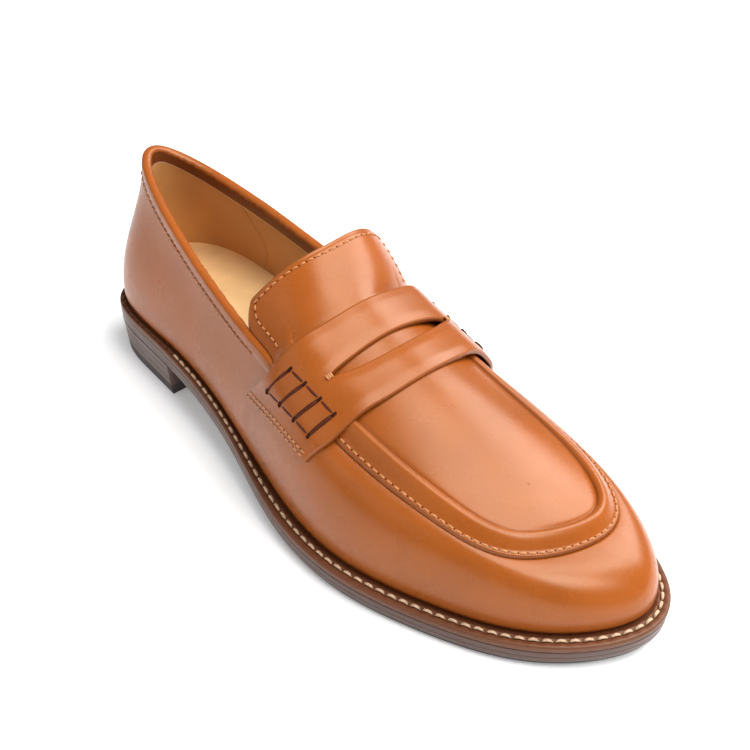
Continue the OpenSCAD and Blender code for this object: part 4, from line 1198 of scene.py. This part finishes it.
def apron_row(pitch, bead_height):
    """A row of stitches in the groove between the apron's cut edge and its bead."""
    lift = apron_top(bead_height)

    def path(u):
        p = apron(u, np.full_like(u, STITCH_IN), np.zeros_like(u))
        p[..., 2] += lift(np.array([STITCH_IN]), 0.0)
        return p

    def up(u):
        side = apron(u, np.full_like(u, STITCH_IN + 1), np.zeros_like(u))
        side = side - apron(u, np.full_like(u, STITCH_IN - 1), np.zeros_like(u))
        return unit(np.cross(path(u + 0.02) - path(u - 0.02), side))
    ends = APRON_STITCH_START, STATIONS - APRON_STITCH_START
    return stitch_row(path, up, *ends, pitch, share=0.76), path, up


def topline_row(pitch):
    """A row of stitches below the topline, a little proud of the wall."""
    def path(u):
        u = np.mod(u, STATIONS)
        return wall_at(u, row_below(u, TOPLINE_STITCH), -TOPLINE_PROUD)

    def up(u):
        u = np.mod(u, STATIONS)
        return normal_of(wall, u, row_below(u, TOPLINE_STITCH))
    ends = -TOPLINE_STITCH_END, TOPLINE_STITCH_END
    return stitch_row(path, up, *ends, pitch, share=0.8), path, up


def strap_v(side, distance):
    """Number along the strap at a distance in from one of its ends."""
    run, t = arc_table(lambda v: strap(v, 0.5), 0, SLOT_MIDDLE)
    v = np.interp(distance, run, t)
    return v if side < 0 else STRAP_LAST - v


def strap_line(side, distance, thickness):
    """A path across the strap's top at a distance from an end, and its up directions."""
    v = strap_v(side, distance)

    def up(c):
        return strap_normal(np.full_like(c, v), c)

    def path(c):
        top = thickness + strap_crown(np.minimum(distance, np.minimum(c, 1 - c) * STRAP_BREADTH))
        return strap(v, c) + top[..., None] * up(c)
    return path, up


def slot_tacks(thickness, slot_length, radius):
    """Three close stitches across each end of the slot, as ends and up directions."""
    span = slot_parts(0.0, slot_length, 1.0)[0]
    v = SLOT_MIDDLE + np.concatenate([side * (span + np.array([-0.02, 0.05, 0.12]))
                                      for side in (-1, 1)])
    up = strap_normal(v, SLOT_LINE)
    lift = (thickness + strap_crown(9.0) + 0.3 * radius) * up
    return [(strap(v, SLOT_LINE - 0.03) + lift, strap(v, SLOT_LINE + 0.03) + lift, up)]


def holes(rows):
    """Painted shade of the needle holes: flat dark drops at the ends of the stitches of some
    rows, standing for the shade inside each hole.
    """
    starts, ends, ups = [], [], []
    for (a, b, n, at), path, up in rows:
        p, n = path(at), up(at)
        along = unit(b - a) * 0.25
        starts.append(p - along)
        ends.append(p + along)
        ups.append(n)
    return [np.concatenate(v) for v in (starts, ends, ups)]


def lace_threads(thickness, radius):
    """Hand lacing at both ends of the strap: thick rungs along it and thinner sunken rails
    across it between the same holes."""
    rungs, rails, hole_shades = [], [], []
    c = np.array(LACE_ROWS)
    for side in (-1, 1):
        ends = []
        for distance in (LACE_LOW, LACE_HIGH):
            path, up = strap_line(side, distance, thickness)
            p, n = path(c), up(c)
            ends.append((p, n))
            sink = (0.5 * radius) * n
            near, far = mix(p[:-1], p[1:], 0.02), mix(p[:-1], p[1:], 0.98)
            rails.append((near - sink[:-1], far - sink[1:], unit(n[:-1] + n[1:])))
            # Painted shade: a flat dark drop over each lace hole, standing for the shade inside it.
            along = unit(np.gradient(p, axis=0)) * 0.7
            hole_shades.append((p - along + 0.3 * n, p + along + 0.3 * n, n))
        (a, n), (b, m) = ends
        rungs.append((a, b, unit(n + m)))
    return rungs, rails, hole_shades


# ---------------------------------------------------------------------------
# The add-on
# ---------------------------------------------------------------------------
def length_property(name, description, default, low, high):
    return bpy.props.FloatProperty(name=name, description=description, default=default,
                                   min=low, max=high, unit="LENGTH", precision=4)


def colour_property(name, description, default):
    return bpy.props.FloatVectorProperty(name=name, description=description, default=default,
                                         subtype="COLOR", size=3, min=0.0, max=1.0)


class LoaferSizes(bpy.types.PropertyGroup):
    """Sizes of the visible work on the upper and the sole."""

    bead_height: length_property("Bead height", "Height of the raised bead round the apron",
                                 0.0025, 0.001, 0.004)
    strap_thickness: length_property("Strap thickness", "Thickness of the saddle strap's leather",
                                     0.002, 0.001, 0.003)
    slot_length: length_property("Slot length", "Length of the slot in the saddle strap",
                                 0.061, 0.040, 0.074)
    slot_width: length_property("Slot width", "Width of the slot at its middle",
                                0.0065, 0.003, 0.010)
    welt_pitch: length_property("Welt stitch", "Distance between stitches on the welt",
                                0.005, 0.003, 0.008)
    fine_pitch: length_property("Upper stitch", "Distance between stitches on the upper",
                                0.0035, 0.002, 0.005)
    welt_thread: length_property("Welt thread", "Radius of the thread on the welt",
                                 0.00066, 0.0003, 0.001)
    fine_thread: length_property("Upper thread", "Radius of the thread on the upper",
                                 0.0004, 0.0002, 0.0006)
    lace: length_property("Lace", "Radius of the hand lacing on the strap",
                          0.00085, 0.0004, 0.0014)


class LoaferColours(bpy.types.PropertyGroup):
    """Colours of the leathers and threads, as linear values."""

    upper: colour_property("Upper", "Cognac calf of the upper", (0.33, 0.078, 0.008))
    facing: colour_property("Facing", "Brown strip inside the topline", (0.15, 0.035, 0.006))
    lining: colour_property("Lining", "Undyed lining leather", (0.54, 0.26, 0.072))
    sock: colour_property("Sock", "Leather under the foot", (0.84, 0.55, 0.25))
    welt: colour_property("Welt", "Waxed leather of the welt", (0.13, 0.042, 0.018))
    sole: colour_property("Sole edge", "Inked edge of the sole and heel", (0.075, 0.028, 0.016))
    rubber: colour_property("Rubber", "Rubber under the forepart and heel", (0.035, 0.024, 0.02))
    welt_thread: colour_property("Welt thread", "Waxed linen thread", (0.66, 0.45, 0.28))
    upper_thread: colour_property("Upper thread", "Tan thread of the upper", (0.56, 0.22, 0.065))
    lace: colour_property("Lace", "Dark lacing on the strap", (0.085, 0.020, 0.009))
    # Painted shade: the dark colour of the drops that stand for the shade inside needle and lace
    # holes.
    hole: colour_property("Hole", "Inside of the needle holes", (0.035, 0.010, 0.005))
    floor: colour_property("Floor", "Pale studio paper", (0.93, 0.93, 0.93))


def sizes():
    """The sizes in millimetres, by name."""
    group = bpy.context.scene.loafer_sizes
    return {key: getattr(group, key) * 1000 for key in LoaferSizes.__annotations__}


MAKERS = {
    "upper": lambda name, c: make_leather(name, c.upper, 0.27),
    "facing": lambda name, c: make_leather(name, c.facing, 0.4, 0.25, 1.0, 0.04,
                                           (0.95, 0.70, 0.48)),
    "lining": lambda name, c: make_lining(name, c.lining),
    "sock": lambda name, c: make_lining(name, c.sock, 0.5),
    "welt": lambda name, c: make_leather(name, c.welt, 0.42, 0.3, 0.8, 0.1),
    "sole": lambda name, c: make_sole_edge(name, c.sole),
    "rubber": lambda name, c: make_rubber(name, c.rubber),
    "welt_thread": lambda name, c: make_thread(name, c.welt_thread),
    "upper_thread": lambda name, c: make_thread(name, c.upper_thread),
    "lace": lambda name, c: make_thread(name, c.lace, 0.5, 0.0, 0.1),
    # The hole finish is painted shade for the needle and lace holes.
    "hole": lambda name, c: make_thread(name, c.hole, 0.8, 0.0, 0.05),
    "stiffener": lambda name, c: make_granular(name, (0.62, 0.50, 0.34), 900.0),
    "backing": lambda name, c: make_weave(name, (0.80, 0.76, 0.66), 0.0008),
    "insole": lambda name, c: make_lining(name, (0.55, 0.38, 0.20), 0.7),
    "canvas": lambda name, c: make_weave(name, (0.82, 0.77, 0.64), 0.0012),
    "foam": lambda name, c: make_granular(name, (0.85, 0.80, 0.62), 1600.0, 0.95, 0.25),
    "cork": lambda name, c: make_granular(name, (0.50, 0.30, 0.14), 420.0),
    "cord": lambda name, c: make_weave(name, (0.78, 0.72, 0.58), 0.0006),
    "steel": lambda name, c: make_steel(name, (0.55, 0.56, 0.58)),
}


def finish_of(kind):
    """The finish of a kind, made once from the scene's colours."""
    name = "loafer_" + kind
    return bpy.data.materials.get(name) or MAKERS[kind](name, bpy.context.scene.loafer_colours)


class LoaferPiece:
    """What every operator here shares."""

    bl_options = {"REGISTER", "UNDO"}


class LOAFER_OT_sides(LoaferPiece, bpy.types.Operator):
    """Makes the side of the upper and the strip over its back seam"""

    bl_idname = "loafer.sides"
    bl_label = "Sides and back strip"

    def execute(self, context):
        settle(side_wall(), "upper_leather", finish_of("upper"), "vamp")
        settle(back_strip(), "upper_leather", finish_of("upper"), "backstay")
        return {"FINISHED"}


class LOAFER_OT_collar(LoaferPiece, bpy.types.Operator):
    """Makes the rolled topline and the brown strip inside it"""

    bl_idname = "loafer.collar"
    bl_label = "Topline and facing"

    def execute(self, context):
        settle(topline_binding(), "upper_leather", finish_of("upper"), "topline_binding")
        settle(collar_facing(), "facing_leather", finish_of("facing"), "collar_facing")
        return {"FINISHED"}


class LOAFER_OT_lining(LoaferPiece, bpy.types.Operator):
    """Makes the linings of the forepart, quarters and heel"""

    bl_idname = "loafer.lining"
    bl_label = "Linings"

    def execute(self, context):
        deep = UPPER + STIFFENER
        leather = finish_of("lining")
        start, end = VAMP_LINING_START, STATIONS - VAMP_LINING_START
        for name, node, first, last in (
                ("front_lining", "vamp_lining", start, end),
                ("outer_lining", "quarter_lining_outer", GRIP_END, start),
                ("inner_lining", "quarter_lining_inner", end, STATIONS - GRIP_END)):
            piece = lining_part(name, first, last, deep, LINING)
            settle(piece, "lining_leather", leather, node)
        lap = GRIP_END + GRIP_LAP
        grip = lining_part("grip_lining", -lap, lap, deep, LINING + GRIP_PROUD, GRIP_BOW)
        settle(grip, "lining_leather", leather, "heel_grip")
        settle(apron_inside(), "lining_leather", leather, "apron_lining")
        return {"FINISHED"}


class LOAFER_OT_apron(LoaferPiece, bpy.types.Operator):
    """Makes the apron with its bead and its tongue"""

    bl_idname = "loafer.apron"
    bl_label = "Apron and tongue"

    def execute(self, context):
        piece = apron_with_tongue(sizes()["bead_height"])
        settle(piece, "upper_leather", finish_of("upper"), "apron")
        settle(bead_cord(sizes()["bead_height"]), "cord", finish_of("cord"), "apron_cord")
        return {"FINISHED"}


class LOAFER_OT_strap(LoaferPiece, bpy.types.Operator):
    """Makes the saddle strap with its slot"""

    bl_idname = "loafer.strap"
    bl_label = "Saddle strap"

    def execute(self, context):
        size = sizes()
        piece = strap_piece(size["strap_thickness"], size["slot_length"], size["slot_width"])
        settle(piece, "upper_leather", finish_of("upper"), "saddle_strap")
        return {"FINISHED"}


class LOAFER_OT_inside(LoaferPiece, bpy.types.Operator):
    """Makes the sock and heel pad, and finishes the parts that stay hidden in the shoe"""

    bl_idname = "loafer.inside"
    bl_label = "Sock, pad and hidden parts"

    def execute(self, context):
        sock = inside_sheet("sock", sock_bottom, sock_top, 0.3)
        settle(sock, "sock_leather", finish_of("sock"), "sock_liner")
        pad = settle(heel_pad(), "foam", finish_of("foam"), "heel_pad")
        for kind, nodes in HIDDEN.items():
            for node in nodes:
                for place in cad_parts[node].material_slots:
                    place.material = finish_of(kind)
        return {"FINISHED"}


HIDDEN = {"stiffener": ("toe_puff", "heel_counter"),
          "backing": ("side_backer_outer", "side_backer_inner"),
          "insole": ("insole_board",), "canvas": ("insole_rib",), "cork": ("cork_filler",),
          "steel": ("shank", "heel_nails")}


class LOAFER_OT_welt(LoaferPiece, bpy.types.Operator):
    """Makes the welt round the forepart and the rand round the heel"""

    bl_idname = "loafer.welt"
    bl_label = "Welt and rand"

    def execute(self, context):
        pitch = sizes()["welt_pitch"]
        first, last = welt_ends()
        leather = finish_of("welt")
        welt = welt_strip("welt_strip", first, last, pitch, 2400)
        settle(welt, "welt_leather", leather, "welt")
        rand = welt_strip("rand_strip", last - STATIONS, first, pitch, 800)
        settle(rand, "welt_leather", leather, "heel_rand")
        return {"FINISHED"}


def welt_ends():
    """Stations on both sides where the welt ends and the rand begins."""
    return station_at(RAND_END, 1, 5), station_at(RAND_END, 13, 17)


class LOAFER_OT_sole(LoaferPiece, bpy.types.Operator):
    """Makes the leather outsole and the rubber under the forepart"""

    bl_idname = "loafer.sole"
    bl_label = "Outsole and rubber"

    def execute(self, context):
        outsole = sole_slab("outsole_slab", RUBBER, SOLE, 0.5, 0.12, 0.5, 0.12, (0.5,))
        settle(outsole, "sole_leather", finish_of("sole"), "outsole")
        rubber = sole_slab("rubber_slab", 0.0, RUBBER, RUBBER_INSET + 0.5, RUBBER_INSET, 0.3,
                           0.0, low=RUBBER_START)
        settle(rubber, "sole_rubber", finish_of("rubber"), "rubber_forepart")
        return {"FINISHED"}


class LOAFER_OT_heel(LoaferPiece, bpy.types.Operator):
    """Makes the three lifts of the heel and its top piece"""

    bl_idname = "loafer.heel"
    bl_label = "Heel"

    def execute(self, context):
        top = HEEL_RISE + RUBBER
        step = (top - TOP_PIECE) / LIFTS
        levels = [0.0] + [TOP_PIECE + k * step for k in range(LIFTS)] + [top + 1]
        parts = (("heel_tread", "top_piece", "heel_rubber", "rubber"),
                 ("lift_low", "heel_lift_lower", "sole_leather", "sole"),
                 ("lift_mid", "heel_lift_middle", "sole_leather", "sole"),
                 ("lift_high", "heel_lift_upper", "sole_leather", "sole"))
        for k, (name, node, slot, kind) in enumerate(parts):
            low, high = levels[k], levels[k + 1]
            insets = [0.35 + HEEL_TAPER * (1 - min(v, top) / top) for v in (low, high)]
            piece = heel_layer(name, low, high, *insets)
            settle(piece, slot, finish_of(kind), node)
        return {"FINISHED"}


class LOAFER_OT_stitching(LoaferPiece, bpy.types.Operator):
    """Sews the welt, apron, tongue, topline and the ends of the strap"""

    bl_idname = "loafer.stitching"
    bl_label = "Stitching"

    def execute(self, context):
        size = sizes()
        pitch, radius = size["welt_pitch"], size["welt_thread"]
        first, last = welt_ends()

        def on_welt(u):
            return welt_line(u, CHANNEL, -CHANNEL_DEPTH + 0.5 * radius)

        def up(u):
            return np.broadcast_to([0.0, 0.0, 1.0], (len(u), 3))
        thread = finish_of("upper_thread")
        row = stitch_row(on_welt, up, first, last, pitch, share=0.8)
        piece = add_stitches("welt_thread_row", [row], radius, arch=0.5)
        settle(piece, "welt_thread", finish_of("welt_thread"), "welt_stitching")
        row = stitch_row(on_welt, up, last - STATIONS, first, pitch, share=0.8)
        piece = add_stitches("rand_thread_row", [row], 0.8 * radius, arch=0.2)
        settle(piece, "welt_thread", finish_of("welt"))

        pitch, radius = size["fine_pitch"], size["fine_thread"]
        on_apron = apron_row(pitch, size["bead_height"])
        on_tongue = tongue_row(pitch)
        on_topline = topline_row(pitch)
        on_strap = []
        for side in (-1, 1):
            for distance in END_ROWS:
                path, up = strap_line(side, distance, size["strap_thickness"])
                row = stitch_row(path, up, 0.05, 0.95, 0.8 * pitch)
                on_strap.append((row, path, up))
        for name, rows, node in (("apron_thread_row", [on_apron], "apron_stitching"),
                                 ("tongue_thread_row", [on_tongue], "tongue_stitching"),
                                 ("topline_thread_row", [on_topline], "topline_stitching"),
                                 ("strap_thread_rows", on_strap, "strap_end_stitching")):
            piece = add_stitches(name, [row[0] for row in rows], radius)
            settle(piece, "upper_thread", thread, node)
        tacks = slot_tacks(size["strap_thickness"], size["slot_length"], radius)
        piece = add_stitches("slot_tacks", tacks, 1.2 * radius)
        settle(piece, "upper_thread", thread)
        # Painted shade: dark drops over the needle holes.
        hole_shades = holes([on_apron, on_tongue] + on_strap)
        piece = add_stitches("needle_hole_shade", [hole_shades], 0.5, flat=0.45, arch=0.0, sides=7)
        settle(piece, "upper_leather", finish_of("hole"))
        return {"FINISHED"}


class LOAFER_OT_lacing(LoaferPiece, bpy.types.Operator):
    """Laces both ends of the saddle strap by hand"""

    bl_idname = "loafer.lacing"
    bl_label = "Hand lacing"

    def execute(self, context):
        size = sizes()
        radius = size["lace"]
        rungs, rails, hole_shades = lace_threads(size["strap_thickness"], radius)
        thick, dark = finish_of("lace"), finish_of("hole")
        piece = add_stitches("lace_rungs", rungs, radius, arch=0.45, sides=12, rings=15,
                             taper=14)
        settle(piece, "lace", thick, "strap_hand_lacing")
        piece = add_stitches("lace_rails", rails, 0.7 * radius, arch=0.25, sides=10, rings=9,
                             taper=12)
        settle(piece, "lace", thick)
        # Painted shade: dark drops over the lace holes.
        piece = add_stitches("lace_hole_shade", hole_shades, 1.6 * radius, flat=0.35, arch=0.0, sides=14)
        settle(piece, "lace", dark)
        return {"FINISHED"}


def turned(azimuth, elevation, roll):
    """Axes of something that faces a point: right, up and back as a matrix's columns."""
    a, e, r = (math.radians(v) for v in (azimuth, elevation, roll))
    back = Vector((math.sin(a) * math.cos(e), -math.cos(a) * math.cos(e), math.sin(e)))
    level = Vector((math.cos(a), math.sin(a), 0))
    over = back.cross(level)
    right = level * math.cos(r) + over * math.sin(r)
    up = over * math.cos(r) - level * math.sin(r)
    return Matrix((right, up, back)).transposed().to_4x4()


SOFTBOXES = (
    ("key_softbox", 168, 42, 1.5, 0.9, 0.7, 15.0),
    ("front_softbox", 95, 50, 1.6, 0.7, 0.5, 8.0),
    ("top_softbox", 120, 72, 1.5, 1.2, 0.9, 22.0),
    ("fill_softbox", -20, 35, 1.8, 1.4, 1.0, 3.0))
SKY_STRENGTH = 0.34
CAMERA_PLACE = (0.292343, -0.275244, 0.360540)
CAMERA_TURN = (45.895, 38.44, 1.463)
CAMERA_LENS, CAMERA_SHIFT = 59.624, (0.00857, 0.0166)


def add_softbox(name, azimuth, elevation, distance, width, height, watts):
    """A rectangular light that faces the origin from a direction in degrees."""
    light = bpy.data.lights.new(name, "AREA")
    light.shape = "RECTANGLE"
    light.size, light.size_y = width, height
    light.energy = watts
    lamp = bpy.data.objects.new(name, light)
    bpy.context.scene.collection.objects.link(lamp)
    axes = turned(azimuth, elevation, 0)
    lamp.matrix_world = Matrix.Translation(axes.col[2].to_3d() * distance) @ axes


class LOAFER_OT_stage(LoaferPiece, bpy.types.Operator):
    """Lays the pale floor, sets the soft lights and places the camera"""

    bl_idname = "loafer.stage"
    bl_label = "Stage"

    def execute(self, context):
        scene = context.scene
        line = np.linspace(-4000, 4000, 9)
        x, y = np.meshgrid(line, line, indexing="ij")
        floor = add_mesh("studio_floor", np.stack([x, y, 0 * x], -1).reshape(-1, 3) + SHIFT,
                         grid_faces(9, 9))
        floor.data.materials.append(make_floor(scene.loafer_colours.floor))

        world = bpy.data.worlds.new("studio_air")
        world.use_nodes = True
        sky = world.node_tree.nodes["Background"]
        sky.inputs["Color"].default_value = (1.0, 1.0, 1.0, 1.0)
        sky.inputs["Strength"].default_value = SKY_STRENGTH
        scene.world = world
        for softbox in SOFTBOXES:
            add_softbox(*softbox)

        data = bpy.data.cameras.new("camera")
        data.sensor_width = 36.0
        data.lens = CAMERA_LENS
        data.shift_x, data.shift_y = CAMERA_SHIFT
        data.clip_start = 0.02
        camera = bpy.data.objects.new("camera", data)
        scene.collection.objects.link(camera)
        camera.matrix_world = Matrix.Translation(CAMERA_PLACE) @ turned(*CAMERA_TURN)
        scene.camera = camera
        scene.view_settings.view_transform = "Standard"
        return {"FINISHED"}


class LOAFER_PT_panel(bpy.types.Panel):
    """Lists the sizes, the colours and a button for each group of pieces"""

    bl_idname = "LOAFER_PT_panel"
    bl_label = "Penny loafer"
    bl_space_type = "VIEW_3D"
    bl_region_type = "UI"
    bl_category = "Loafer"

    def draw(self, context):
        column = self.layout.column()
        for group in (context.scene.loafer_sizes, context.scene.loafer_colours):
            for key in type(group).__annotations__:
                column.prop(group, key)
        for operator in OPERATORS:
            column.operator(operator.bl_idname)


GROUPS = (LoaferSizes, LoaferColours)
OPERATORS = (LOAFER_OT_stage, LOAFER_OT_sides, LOAFER_OT_collar, LOAFER_OT_lining,
             LOAFER_OT_apron, LOAFER_OT_strap, LOAFER_OT_inside, LOAFER_OT_welt, LOAFER_OT_sole,
             LOAFER_OT_heel, LOAFER_OT_stitching, LOAFER_OT_lacing)


def register():
    for cls in GROUPS + OPERATORS + (LOAFER_PT_panel,):
        bpy.utils.register_class(cls)
    bpy.types.Scene.loafer_sizes = bpy.props.PointerProperty(type=LoaferSizes)
    bpy.types.Scene.loafer_colours = bpy.props.PointerProperty(type=LoaferColours)


def unregister():
    del bpy.types.Scene.loafer_colours
    del bpy.types.Scene.loafer_sizes
    for cls in reversed(GROUPS + OPERATORS + (LOAFER_PT_panel,)):
        bpy.utils.unregister_class(cls)


def main():
    register()
    for operator in OPERATORS:
        group, name = operator.bl_idname.split(".")
        getattr(getattr(bpy.ops, group), name)()


if __name__ == "__main__":
    main()
